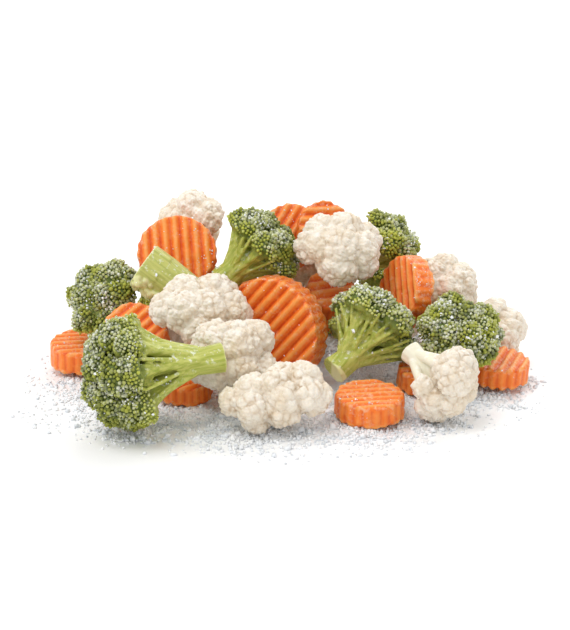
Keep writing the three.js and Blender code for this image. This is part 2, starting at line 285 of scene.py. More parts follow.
def skinned(parts: list[Shell], grain: float, smoothing: int = 2) -> Shell:
    """Grows one skin over forms that lie in each other, with a voxel remesh.

    Args:
        parts: The forms, each closed, in millimetres.
        grain: The size of a voxel in millimetres.
        smoothing: How many times the skin is smoothed.

    Returns:
        The skin.
    """
    points, faces, _ = joined(parts)
    mesh = bpy.data.meshes.new("work")
    fill_mesh(mesh, points, faces)
    work = bpy.data.objects.new("work", mesh)
    bpy.context.scene.collection.objects.link(work)
    skin = work.modifiers.new("Skin", "REMESH")
    skin.mode = "VOXEL"
    skin.voxel_size = grain
    soft = work.modifiers.new("Soft", "SMOOTH")
    soft.factor = 0.5
    soft.iterations = smoothing
    evaluated = work.evaluated_get(bpy.context.evaluated_depsgraph_get())
    made = evaluated.to_mesh()
    made.calc_loop_triangles()
    points = np.empty(len(made.vertices) * 3, np.float32)
    made.vertices.foreach_get("co", points)
    faces = np.empty(len(made.loop_triangles) * 3, np.int32)
    made.loop_triangles.foreach_get("vertices", faces)
    evaluated.to_mesh_clear()
    bpy.data.objects.remove(work)
    bpy.data.meshes.remove(mesh)
    return Shell(points.reshape(-1, 3).astype(float), faces.reshape(-1, 3))


# Small forms that are repeated


def ball_form(subdivisions: int) -> Shell:
    """Makes a ball of radius 1.

    Args:
        subdivisions: How finely it is divided.

    Returns:
        The ball.
    """
    form = bmesh.new()
    bmesh.ops.create_icosphere(form, subdivisions=subdivisions, radius=1)
    return shell_of(form)


def bud_form() -> Shell:
    """Makes a closed flower bud of radius 1 with 20 faces, its blunt tip along Z.

    Returns:
        The bud.
    """
    form = bmesh.new()
    bmesh.ops.create_icosphere(form, subdivisions=1, radius=1.04)
    tip = [corner for corner in form.verts if corner.co.z > 0.9]
    bmesh.ops.translate(form, vec=(0, 0, 0.08), verts=tip)
    return shell_of(form)


def knocked(form: bmesh.types.BMesh, reach: float, seed: int) -> Shell:
    """Knocks the corners of a form about.

    Args:
        form: The form.
        reach: How far a corner may go along each axis.
        seed: The source of chance.

    Returns:
        The form as a shell.
    """
    rng = np.random.default_rng(seed)
    for corner in form.verts:
        bmesh.ops.translate(form, vec=rng.uniform(-reach, reach, 3), verts=[corner])
    return shell_of(form)


def chip_form(seed: int) -> Shell:
    """Makes a splinter of ice from a cube.

    Args:
        seed: The source of chance.

    Returns:
        The splinter.
    """
    form = bmesh.new()
    bmesh.ops.create_cube(form, size=1.2)
    return knocked(form, 0.32, seed)


def grain_form(seed: int) -> Shell:
    """Makes a rounded grain of ice with 20 faces.

    Args:
        seed: The source of chance.

    Returns:
        The grain.
    """
    form = bmesh.new()
    bmesh.ops.create_icosphere(form, subdivisions=1, radius=0.75)
    return knocked(form, 0.2, seed)


def limb_form(
    start: np.ndarray, end: np.ndarray, start_radius: float, end_radius: float, flutes: float = 0.0
) -> Shell:
    """Makes a tapering stem, ribbed along its length where it has flutes.

    Args:
        start: The middle of its cut end.
        end: The middle of its other end.
        start_radius: Its radius at the start.
        end_radius: Its radius at the end.
        flutes: How deep its ribs are, as a share of its radius.

    Returns:
        The stem.
    """
    along = Vector(end) - Vector(start)
    form = bmesh.new()
    bmesh.ops.create_cone(
        form,
        cap_ends=True,
        segments=FLUTED_SIDES if flutes else ROUND_SIDES,
        radius1=start_radius,
        radius2=end_radius,
        depth=along.length,
    )
    for corner in form.verts:
        turn = math.atan2(corner.co.y, corner.co.x)
        rib = 1 + flutes * (math.cos(RIBS * turn + start_radius) + 0.6 * math.cos(FINE_RIBS * turn))
        corner.co.x *= rib
        corner.co.y *= rib
    upright = Vector((0, 0, 1)).rotation_difference(along.normalized()).to_matrix()
    middle = (Vector(start) + Vector(end)) / 2
    bmesh.ops.transform(form, matrix=Matrix.Translation(middle) @ upright.to_4x4(), verts=form.verts)
    return shell_of(form)


# Balls, and what is spread over them


@dataclass
class Balls:
    """Balls that lie in each other, as the lobes of a head do."""

    centres: np.ndarray
    radii: np.ndarray

    def depth(self, points: np.ndarray) -> np.ndarray:
        """Gives how far each point is outside each ball, below 0 inside it."""
        gaps = points[:, None, :] - self.centres[None, :, :]
        return np.linalg.norm(gaps, axis=2) - self.radii[None, :]

    def studs(
        self, spacing: float, clear: float, lowest: float, rng: np.random.Generator
    ) -> tuple[np.ndarray, np.ndarray]:
        """Spreads places over the balls where they face out of the head.

        Args:
            spacing: The distance between places.
            clear: How far a place is outside all the other balls, at the least.
            lowest: How far down a place may face: the Z of its normal.
            rng: The source of the turns.

        Returns:
            The places and the normals there.
        """
        places, normals = [], []
        for index, (centre, radius) in enumerate(zip(self.centres, self.radii)):
            count = max(6, int(4 * math.pi * radius * radius / (HEXAGON * spacing * spacing)))
            turn = upright_turns(unit(rng.normal(size=(1, 3))), rng)[0]
            facing = around_ball(count) @ turn.T
            spots = centre + facing * radius
            depth = self.depth(spots)
            depth[:, index] = FAR
            kept = (depth.min(axis=1) > clear) & (facing[:, 2] > lowest)
            places.append(spots[kept])
            normals.append(facing[kept])
        return thinned(np.concatenate(places), np.concatenate(normals), spacing * NEAREST)

    def with_others(self, centres: np.ndarray, radii: np.ndarray) -> "Balls":
        """Gives these balls and some more."""
        return Balls(np.concatenate([self.centres, centres]), np.concatenate([self.radii, radii]))

    def shells(self, form: Shell, shrink: float = 0.0) -> Shell:
        """Makes all the balls as one shell.

        Args:
            form: The ball that is repeated.
            shrink: How much smaller each is made.

        Returns:
            The shell.
        """
        sizes = np.repeat((self.radii - shrink)[:, None], 3, axis=1)
        turns = np.repeat(np.eye(3)[None], len(self.radii), axis=0)
        return copies(form, self.centres, turns, sizes)


def thinned(
    places: np.ndarray, normals: np.ndarray, nearest: float
) -> tuple[np.ndarray, np.ndarray]:
    """Drops each place that is too near one that is kept.

    Args:
        places: The places.
        normals: The normals there.
        nearest: The least distance between two that are kept.

    Returns:
        The places and normals that are kept.
    """
    tree = kdtree.KDTree(len(places))
    for index, place in enumerate(places):
        tree.insert(place, index)
    tree.balance()
    kept = np.ones(len(places), bool)
    for index, place in enumerate(places):
        if kept[index]:
            for _, other, _ in tree.find_range(place, nearest):
                kept[other] = kept[other] and other <= index
    return places[kept], normals[kept]


# Materials


def linear(colour: str) -> tuple[float, float, float, float]:
    """Turns an sRGB hex colour to linear light.

    Args:
        colour: Six hex digits.

    Returns:
        Red, green, blue and an alpha of 1.
    """
    parts = [int(colour[start : start + 2], 16) / 255 for start in (0, 2, 4)]
    light = [part / 12.92 if part <= 0.04045 else ((part + 0.055) / 1.055) ** 2.4 for part in parts]
    return (light[0], light[1], light[2], 1.0)


def node(
    tree: bpy.types.NodeTree, kind: str, inputs: dict, output: int | str = 0, **settings: str
) -> bpy.types.NodeSocket:
    """Adds a node with its settings, and sets or links its inputs.

    Args:
        tree: The node tree.
        kind: The node's type, without its common start.
        inputs: A socket, a value or a hex colour for each input, by name or number.
        output: Which of its outputs is given back.
        **settings: Its own settings.

    Returns:
        The output.
    """
    made = tree.nodes.new("ShaderNode" + kind)
    for name, value in settings.items():
        setattr(made, name, value)
    for name, value in inputs.items():
        if isinstance(value, bpy.types.NodeSocket):
            tree.links.new(value, made.inputs[name])
        else:
            made.inputs[name].default_value = linear(value) if isinstance(value, str) else value
    return made.outputs[output]


@dataclass(frozen=True)
class Finish:
    """What every finish starts from: a shader with its own roughness, IOR and scattering."""

    name: str
    roughness: float
    ior: float = 1.4
    scatter: float = 0.0
    scatter_mm: float = 1.0
    spread: tuple[float, float, float] = (1.0, 0.8, 0.6)

    def shader(self) -> tuple[bpy.types.Material, bpy.types.NodeTree, bpy.types.Node]:
        """Makes the material, with nothing linked to its shader yet.

        Returns:
            The material, its node tree and its shader.
        """
        material = bpy.data.materials.new(self.name)
        material.use_nodes = True
        tree = material.node_tree
        shader = tree.nodes["Principled BSDF"]
        shader.inputs["Roughness"].default_value = self.roughness
        shader.inputs["IOR"].default_value = self.ior
        shader.inputs["Subsurface Weight"].default_value = self.scatter
        shader.inputs["Subsurface Scale"].default_value = self.scatter_mm * MM
        shader.inputs["Subsurface Radius"].default_value = self.spread
        return material, tree, shader

    def specks(
        self,
        tree: bpy.types.NodeTree,
        grain_mm: float,
        detail: float,
        limits: tuple[float, float],
        top: float = 1.0,
    ) -> bpy.types.NodeSocket:
        """Draws soft random specks: noise on Object coordinates, cut between two limits.

        Args:
            tree: The node tree.
            grain_mm: The size of a grain in millimetres.
            detail: How many times the noise is broken up more finely.
            limits: The noise below which there is no speck, and above which it is full.
            top: The share in a full speck.

        Returns:
            A share from 0 to top.
        """
        place = node(tree, "TexCoord", {}, "Object")
        grain = {"Vector": place, "Scale": MM_PER_METRE / grain_mm, "Detail": detail, "Roughness": 0.6}
        grains = node(tree, "TexNoise", grain)
        span = {"Value": grains, "From Min": limits[0], "From Max": limits[1], "To Max": top}
        return node(tree, "MapRange", span, interpolation_type="SMOOTHSTEP")

    def lying(
        self, tree: bpy.types.NodeTree, limits: tuple[float, float], top: float = 1.0
    ) -> bpy.types.NodeSocket:
        """Finds where dust can lie, from how far the surface faces up.

        Args:
            tree: The node tree.
            limits: The Z of the normal below which none lies, and above which all does.
            top: The share where all lies.

        Returns:
            A share from 0 to top.
        """
        normal = node(tree, "NewGeometry", {}, "Normal")
        lift = node(tree, "SeparateXYZ", {0: normal}, "Z")
        span = {"Value": lift, "From Min": limits[0], "From Max": limits[1], "To Max": top}
        return node(tree, "MapRange", span, interpolation_type="SMOOTHSTEP")

    def dress(
        self,
        tree: bpy.types.NodeTree,
        shader: bpy.types.Node,
        colour: bpy.types.NodeSocket,
        height: bpy.types.NodeSocket,
        depth_mm: float,
        strength: float,
    ) -> None:
        """Gives the shader its colour and its low relief.

        Args:
            tree: The node tree.
            shader: The shader.
            colour: The colour.
            height: The height of the relief.
            depth_mm: How far a height of 1 stands out, in millimetres.
            strength: How much of the relief shows.
        """
        relief = {"Height": height, "Distance": depth_mm * MM, "Strength": strength}
        tree.links.new(node(tree, "Bump", relief), shader.inputs["Normal"])
        tree.links.new(colour, shader.inputs["Base Color"])


@dataclass(frozen=True)
class CauliflowerCurd(Finish):
    """Frozen cauliflower, grown: matt cream curd with painted beige shade where its lumps meet and between
    its granules, and a waxy pale stem.
    """

    name: str = "cauliflower_curd"
    roughness: float = 0.55
    scatter: float = 0.25
    scatter_mm: float = 1.5
    spread: tuple[float, float, float] = (1.0, 0.85, 0.65)
    curd: str = "EDE4D5"
    warm: str = "E4D5BE"
    # The crease colour is a painted shade colour, for the creases between knobs, the gaps between granules
    # and random darker dots
    crease: str = "B7966A"
    stem: str = "E8E3CD"
    frost: str = "F8F4EC"
    granule_mm: float = 0.95
    dot_mm: float = 1.6
    frost_mm: float = 2.6
    faint_mm: float = 6.0
    blotch_mm: float = 9.0
    rough_mm: float = 0.8
    relief_mm: float = 0.32

    def build(self) -> bpy.types.Material:
        """Makes the material.

        Returns:
            The material.
        """
        material, tree, shader = self.shader()
        place = node(tree, "TexCoord", {}, "Object")
        stem = node(tree, "Attribute", {}, "Fac", attribute_name="stem")
        crease = node(tree, "Attribute", {}, "Fac", attribute_name="crease")
        curd = node(tree, "Math", {0: 1.0, 1: stem}, operation="SUBTRACT")

        blotch = self.specks(tree, self.blotch_mm, 2.0, (0.42, 0.62), 0.75)
        body = node(tree, "Mix", {0: blotch, 6: self.curd, 7: self.warm}, 2, data_type="RGBA")
        body = node(tree, "Mix", {0: stem, 6: body, 7: self.stem}, 2, data_type="RGBA")

        # The granules of the curd are finer than this in truth: they are drawn so that they show. The gaps
        # between them get painted shade, and random darker dots are added to it
        cells = {"Vector": place, "Scale": MM_PER_METRE / self.granule_mm, "Smoothness": 0.3}
        gap = node(tree, "TexVoronoi", cells, "Distance", feature="SMOOTH_F1")
        span = {"Value": gap, "From Min": 0.4, "From Max": 0.7, "To Max": 0.1}
        between = node(tree, "MapRange", span, interpolation_type="SMOOTHSTEP")
        dots_and_gap_shade = self.specks(tree, self.dot_mm, 3.0, (0.60, 0.74), 0.25)
        dots_and_gap_shade = node(tree, "Math", {0: dots_and_gap_shade, 1: between}, operation="ADD")
        dots_and_gap_shade = node(tree, "Math", {0: dots_and_gap_shade, 1: curd}, operation="MULTIPLY")

        # The painted crease shade is strong in some places and faint in others
        uneven = self.specks(tree, self.faint_mm, 2.0, (0.42, 0.6), 0.55)
        uneven = node(tree, "Math", {0: uneven, 1: 0.3}, operation="ADD")
        crease = node(tree, "Math", {0: crease, 1: uneven}, operation="MULTIPLY")
        crease = node(tree, "Math", {0: crease, 1: dots_and_gap_shade}, operation="MAXIMUM")
        # Painted shade: the creases, the gaps between granules and random dots are darkened to the crease
        # colour
        body = node(tree, "Mix", {0: crease, 6: body, 7: self.crease}, 2, data_type="RGBA")

        dust = self.specks(tree, self.frost_mm, 4.0, (0.5, 0.62))
        lying = self.lying(tree, (0.0, 0.9), 0.6)
        dust = node(tree, "Math", {0: dust, 1: lying}, operation="MULTIPLY")
        body = node(tree, "Mix", {0: dust, 6: body, 7: self.frost}, 2, data_type="RGBA")

        tops = node(tree, "Math", {0: 1.0, 1: gap}, operation="SUBTRACT")
        tops = node(tree, "Math", {0: tops, 1: curd}, operation="MULTIPLY")
        grain = {"Vector": place, "Scale": MM_PER_METRE / self.rough_mm, "Detail": 5.0, "Roughness": 0.6}
        rough = node(tree, "Math", {0: node(tree, "TexNoise", grain), 1: 0.4}, operation="MULTIPLY")
        height = node(tree, "Math", {0: tops, 1: rough}, operation="ADD")
        self.dress(tree, shader, body, height, self.relief_mm, 0.75)
        return material


@dataclass(frozen=True)
class BroccoliStalk(Finish):
    """Frozen broccoli stalk, grown and cut: satin yellow-green skin with fibres along it, painted dark
    shade under and between the buds, and frost.
    """

    name: str = "broccoli_stalk"
    roughness: float = 0.42
    scatter: float = 0.2
    scatter_mm: float = 1.2
    spread: tuple[float, float, float] = (0.7, 1.0, 0.3)
    pale: str = "C3C468"
    green: str = "93A034"
    # The head colour is painted shade, for the skin seen under and between the buds
    head: str = "5A6A24"
    cut: str = "E0DEA4"
    frost: str = "F4F7EE"
    fibres_per_mm: float = 1.1
    frost_mm: float = 1.6
    relief_mm: float = 0.35

    def build(self) -> bpy.types.Material:
        """Makes the material.

        Returns:
            The material.
        """
        material, tree, shader = self.shader()
        local = node(tree, "Attribute", {}, "Vector", attribute_name="local")
        cut = node(tree, "Attribute", {}, "Fac", attribute_name="cut")
        head = node(tree, "Attribute", {}, "Fac", attribute_name="head")

        # Fibres ten times as long as they are wide, on the floret's own millimetres
        drawn = node(tree, "Mapping", {"Vector": local, "Scale": (1.0, 1.0, 0.10)})
        fibre = {"Vector": drawn, "Scale": self.fibres_per_mm, "Detail": 4.0}
        fibres = node(tree, "TexNoise", fibre)
        span = {"Value": fibres, "From Min": 0.28, "From Max": 0.78}
        tone = node(tree, "MapRange", span, interpolation_type="SMOOTHSTEP")
        skin = node(tree, "Mix", {0: tone, 6: self.pale, 7: self.green}, 2, data_type="RGBA")
        skin = node(tree, "Mix", {0: cut, 6: skin, 7: self.cut}, 2, data_type="RGBA")
        # Painted shade: the skin under and between the buds is darkened to the head colour
        skin = node(tree, "Mix", {0: head, 6: skin, 7: self.head}, 2, data_type="RGBA")

        dust = self.specks(tree, self.frost_mm, 5.0, (0.55, 0.68), 0.6)
        dust = node(tree, "Math", {0: dust, 1: self.lying(tree, (-0.5, 0.8))}, operation="MULTIPLY")
        skin = node(tree, "Mix", {0: dust, 6: skin, 7: self.frost}, 2, data_type="RGBA")

        raised = node(tree, "Math", {0: dust, 1: 0.5}, operation="MULTIPLY")
        height = node(tree, "Math", {0: fibres, 1: raised}, operation="ADD")
        self.dress(tree, shader, skin, height, self.relief_mm, 0.6)
        return material


@dataclass(frozen=True)
class BroccoliBuds(Finish):
    """Frozen broccoli flower buds, grown: waxy dark green with painted shade at each bud's base and a
    painted highlight towards its tip, yellow-green at the rim, dusted with frost.
    """

    name: str = "broccoli_buds"
    roughness: float = 0.68
    scatter: float = 0.15
    scatter_mm: float = 0.6
    spread: tuple[float, float, float] = (0.7, 1.0, 0.3)
    # The deep colour is painted shade at each bud's base, and the light colour a painted highlight towards
    # its tip
    deep: str = "4C581D"
    light: str = "A9AD46"
    fringe: str = "BCC04E"
    frost: str = "EDEEE6"
    frost_mm: float = 1.2
    skin_mm: float = 0.7
    relief_mm: float = 0.12

    def build(self) -> bpy.types.Material:
        """Makes the material.

        Returns:
            The material.
        """
        material, tree, shader = self.shader()
        place = node(tree, "TexCoord", {}, "Object")
        tip = node(tree, "Attribute", {}, "Fac", attribute_name="tip")
        tint = node(tree, "Attribute", {}, "Fac", attribute_name="tint")
        fringe = node(tree, "Attribute", {}, "Fac", attribute_name="fringe")
        frost = node(tree, "Attribute", {}, "Fac", attribute_name="frost")

        span = {"Value": tint, "From Min": -0.2, "From Max": 1.0}
        lit = node(tree, "MapRange", span, interpolation_type="SMOOTHSTEP")
        # Painted highlight and shade: each bud is lighter towards its tip and dark at its base, by a random
        # share for each bud
        tone = node(tree, "Math", {0: tip, 1: lit}, operation="MULTIPLY")
        skin = node(tree, "Mix", {0: tone, 6: self.deep, 7: self.light}, 2, data_type="RGBA")
        skin = node(tree, "Mix", {0: fringe, 6: skin, 7: self.fringe}, 2, data_type="RGBA")

        dust = self.specks(tree, self.frost_mm, 4.0, (0.36, 0.64))
        dust = node(tree, "Math", {0: dust, 1: frost}, operation="MULTIPLY")
        skin = node(tree, "Mix", {0: dust, 6: skin, 7: self.frost}, 2, data_type="RGBA")

        grain = {"Vector": place, "Scale": MM_PER_METRE / self.skin_mm, "Detail": 3.0, "Roughness": 0.6}
        self.dress(tree, shader, skin, node(tree, "TexNoise", grain), self.relief_mm, 0.6)
        return material


@dataclass(frozen=True)
class CarrotFlesh(Finish):
    """Frozen carrot, cut with a crinkled blade: wet-looking orange with a painted highlight on the crests
    and painted shade in the grooves and rim flutes, frosted on top.
    """

    name: str = "carrot_flesh"
    roughness: float = 0.38
    scatter: float = 0.25
    scatter_mm: float = 1.6
    spread: tuple[float, float, float] = (1.0, 0.5, 0.2)
    # The crest colour is a painted highlight for the crests and also the colour of random lighter blotches;
    # the valley colour is painted shade
    crest: str = "FCA957"
    flesh: str = "F57C24"
    valley_shade: str = "DB520F"
    frost: str = "FBD3B2"
    blotch_mm: float = 5.0
    frost_mm: float = 1.2
    grain_mm: float = 0.9
    relief_mm: float = 0.25

    def build(self) -> bpy.types.Material:
        """Makes the material.

        Returns:
            The material.
        """
        material, tree, shader = self.shader()
        place = node(tree, "TexCoord", {}, "Object")
        ridge = node(tree, "Attribute", {}, "Fac", attribute_name="ridge")
        frost = node(tree, "Attribute", {}, "Fac", attribute_name="frost")

        # Painted shade and highlight: the grooves and rim flutes are darkened to the valley colour, and the
        # crests lightened to the crest colour
        span = {"Value": ridge, "From Min": -0.9, "From Max": 0.1}
        risen = node(tree, "MapRange", span, interpolation_type="SMOOTHSTEP")
        span = {"Value": ridge, "From Min": 0.2, "From Max": 1.0, "To Max": 0.8}
        crest = node(tree, "MapRange", span, interpolation_type="SMOOTHSTEP")
        body = node(tree, "Mix", {0: risen, 6: self.valley_shade, 7: self.flesh}, 2, data_type="RGBA")
        body = node(tree, "Mix", {0: crest, 6: body, 7: self.crest}, 2, data_type="RGBA")
        # Random lighter blotches, in the crest colour
        blotch = self.specks(tree, self.blotch_mm, 3.0, (0.5, 0.68), 0.35)
        body = node(tree, "Mix", {0: blotch, 6: body, 7: self.crest}, 2, data_type="RGBA")

        dust = self.specks(tree, self.frost_mm, 5.0, (0.46, 0.68), 0.6)
        dust = node(tree, "Math", {0: dust, 1: frost}, operation="MULTIPLY")
        body = node(tree, "Mix", {0: dust, 6: body, 7: self.frost}, 2, data_type="RGBA")

        grain = {"Vector": place, "Scale": MM_PER_METRE / self.grain_mm, "Detail": 4.0, "Roughness": 0.6}
        height = node(tree, "Math", {0: node(tree, "TexNoise", grain), 1: dust}, operation="ADD")
        self.dress(tree, shader, body, height, self.relief_mm, 0.7)
        return material


@dataclass(frozen=True)
class IceCrystal(Finish):
    """Loose crystals of ice, frozen from spray: white with a soft gloss, with soft random patches of
    painted grey shade.
    """

    name: str = "ice_crystal"
    roughness: float = 0.35
    ior: float = 1.31
    white: str = "FCFDFE"
    shade: str = "E9EDF1"
    shade_patch_mm: float = 7.0
    grain_mm: float = 0.6
    relief_mm: float = 0.08

    def build(self) -> bpy.types.Material:
        """Makes the material.

        Returns:
            The material.
        """
        material, tree, shader = self.shader()
        place = node(tree, "TexCoord", {}, "Object")
        thin = node(tree, "Attribute", {}, "Fac", attribute_name="thin")
        thick = node(tree, "Math", {0: 1.0, 1: thin}, operation="SUBTRACT")
        # Painted shade: soft random patches of grey, fading out where the layer thins to its rim
        tone = self.specks(tree, self.shade_patch_mm, 3.0, (0.4, 0.62))
        tone = node(tree, "Math", {0: tone, 1: thick}, operation="MULTIPLY")
        body = node(tree, "Mix", {0: tone, 6: self.white, 7: self.shade}, 2, data_type="RGBA")
        grain = {"Vector": place, "Scale": MM_PER_METRE / self.grain_mm, "Detail": 2.0, "Roughness": 0.6}
        self.dress(tree, shader, body, node(tree, "TexNoise", grain), self.relief_mm, 0.5)
        return material


@dataclass(frozen=True)
class StudioFloor(Finish):
    """The pale floor of the studio."""

    name: str = "studio_floor"
    roughness: float = 0.6
    white: str = "FAFAFA"

    def build(self) -> bpy.types.Material:
        """Makes the material.

        Returns:
            The material.
        """
        material, _, shader = self.shader()
        shader.inputs["Base Color"].default_value = linear(self.white)
        return material


# The vegetables


@dataclass(kw_only=True)
class Vegetable:
    """One vegetable, which stands for the node of its name."""

    name: str
    stance: tuple[float, float, float]
    seed: int = 1
    detail: Detail = Detail.SHOWN

    def turn(self) -> np.ndarray:
        """Gives the turn that points its own Z along its heading and lift, after its roll.

        Returns:
            A 3 by 3 matrix.
        """
        heading, lift, roll = (math.radians(angle) for angle in self.stance)
        turned = (
            Matrix.Rotation(heading, 3, "Z")
            @ Matrix.Rotation(math.pi / 2 - lift, 3, "Y")
            @ Matrix.Rotation(roll, 3, "Z")
        )
        return np.array(turned)

    def outline(self) -> np.ndarray:
        """Gives points on the outside of its solid, about its own origin."""
        raise NotImplementedError

    def shift(self) -> np.ndarray:
        """Gives how far it is moved, from the box of the solid that it stands for.

        Returns:
            The move in millimetres.
        """
        low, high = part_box(self.name)
        own = self.outline() @ self.turn().T
        middle = (own.min(axis=0) + own.max(axis=0)) / 2
        return np.array((low + high) / 2) / MM - middle

    def rng(self) -> np.random.Generator:
        """Gives its own source of chance."""
        return np.random.default_rng(self.seed)

    def shells(self) -> list[Shell]:
        """Makes its shells, placed, in millimetres."""
        raise NotImplementedError

    def build(self, finishes: list[bpy.types.Material]) -> tuple[bpy.types.Object, list[Shell]]:
        """Makes its object, which replaces its solid.

        Args:
            finishes: The materials that its shells' finish numbers stand for.

        Returns:
            The object, and the shells that it is made of.
        """
        shells = self.shells()
        made = make_piece(self.name + "_dressed", shells, finishes)
        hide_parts(self.name)
        return made, shells


def make_piece(
    name: str, shells: list[Shell], finishes: list[bpy.types.Material], smooth: bool = True
) -> bpy.types.Object:
    """Makes one object of shells, in metres, that rides with the heap.

    Args:
        name: The object's name.
        shells: Its shells, in millimetres, in the row frame.
        finishes: Its materials.
        smooth: Whether it is shaded smooth.

    Returns:
        The object.
    """
    points, faces, numbers = joined(shells)
    mesh = bpy.data.meshes.new(name)
    fill_mesh(mesh, points * MM, faces)
    for material in finishes:
        mesh.materials.append(material)
    mesh.polygons.foreach_set("material_index", numbers.astype(np.int32))
    mesh.polygons.foreach_set("use_smooth", np.full(len(faces), smooth))
    for mark in sorted({mark for shell in shells for mark in shell.marks}):
        wide = mark == "local"
        layer = mesh.attributes.new(mark, "FLOAT_VECTOR" if wide else "FLOAT", "POINT")
        empty = (3,) if wide else ()
        values = [shell.marks.get(mark, np.zeros((len(shell.points), *empty))) for shell in shells]
        flat = np.concatenate(values).astype(np.float32).ravel()
        layer.data.foreach_set("vector" if wide else "value", flat)
    made = bpy.data.objects.new(name, mesh)
    bpy.context.scene.collection.objects.link(made)
    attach(made, "root")
    LOG.info("%s: %d triangles", name, len(faces))
    return made


@dataclass(kw_only=True)
class Floret(Vegetable):
    """A floret that stands along its own Z: its crown about the origin, its stalk's cut end below."""

    width: float
    depth: float
    height: float
    lobes: int
    lobe: float
    reach: float
    core: float
    under: float
    stalk: float
    stalk_wide: float
    flare: float
    fork: float
    branches: tuple[int, ...] = ()
    rays: int = 3000
    stalk_sides: int = 8

    def crown(self) -> Balls:
        """Gives the round lobes of its crown, which lie as those of its solid do.

        Returns:
            The lobes.
        """
        centres, radii = [], []
        reach = math.radians(self.reach)
        for k in range(self.lobes):
            cosine = 1 - (k + 0.5) / self.lobes * (1 - math.cos(reach))
            sine = math.sqrt(1 - cosine * cosine)
            turn = k * GOLDEN_ANGLE + LOBE_TURN * chance(self.seed, k)
            radius = self.lobe * (LOBE_LEAST + LOBE_SPAN * chance(self.seed, k + LOBE_DRAW))
            across = (self.width / 2 - radius) * sine * math.cos(turn)
            along = (self.depth / 2 - radius) * sine * math.sin(turn)
            centres.append((across, along, (self.height - radius) * cosine))
            radii.append(radius)
        return Balls(np.array(centres), np.array(radii))

    def core_sizes(self) -> tuple[np.ndarray, float]:
        """Gives the half widths of the crown's core along X, Y and up, and how far down it goes."""
        half = np.array([self.width / 2, self.depth / 2, self.height]) * self.core
        return half, self.under * self.height

    def outline(self) -> np.ndarray:
        """Gives points on the crown, and round both ends of the stalk.

        Returns:
            The points, one a row.
        """
        rays = around_ball(self.rays)
        half, down = self.core_sizes()
        tall = np.where(rays[:, 2] > 0, half[2], down)
        reach = 1 / np.sqrt(
            (rays[:, 0] / half[0]) ** 2 + (rays[:, 1] / half[1]) ** 2 + (rays[:, 2] / tall) ** 2
        )
        crown = self.crown()
        for centre, radius in zip(crown.centres, crown.radii):
            ahead = rays @ centre
            inside = ahead**2 - centre @ centre + radius**2
            far = ahead + np.sqrt(np.maximum(inside, 0))
            reach = np.where(inside > 0, np.maximum(reach, far), reach)
        turns = np.linspace(0, 2 * math.pi, self.stalk_sides + 1)
        ring = np.stack([np.sin(turns), np.cos(turns), 0 * turns], 1) * self.stalk_wide / 2
        cut = ring + np.array([0, 0, -self.stalk])
        return np.concatenate([rays * reach[:, None], cut, ring * self.flare])

    def core_shell(self, shrink: float, down: float) -> Shell:
        """Makes the crown's core.

        Args:
            shrink: How much smaller it is made.
            down: How deep it is below its middle.

        Returns:
            The core.
        """
        form = ball_form(4)
        half, _ = self.core_sizes()
        tall = np.where(form.points[:, 2] > 0, half[2], down)
        sizes = np.stack([np.full_like(tall, half[0]), np.full_like(tall, half[1]), tall], 1)
        form.points = form.points * np.maximum(sizes - shrink, 0.5)
        return form

    def trunk(self) -> tuple[np.ndarray, np.ndarray]:
        """Gives the middle of the stalk's cut end, and the point where its branches leave it."""
        cut = np.array([0.0, 0.0, -self.stalk])
        return cut, cut * (1 - self.fork)


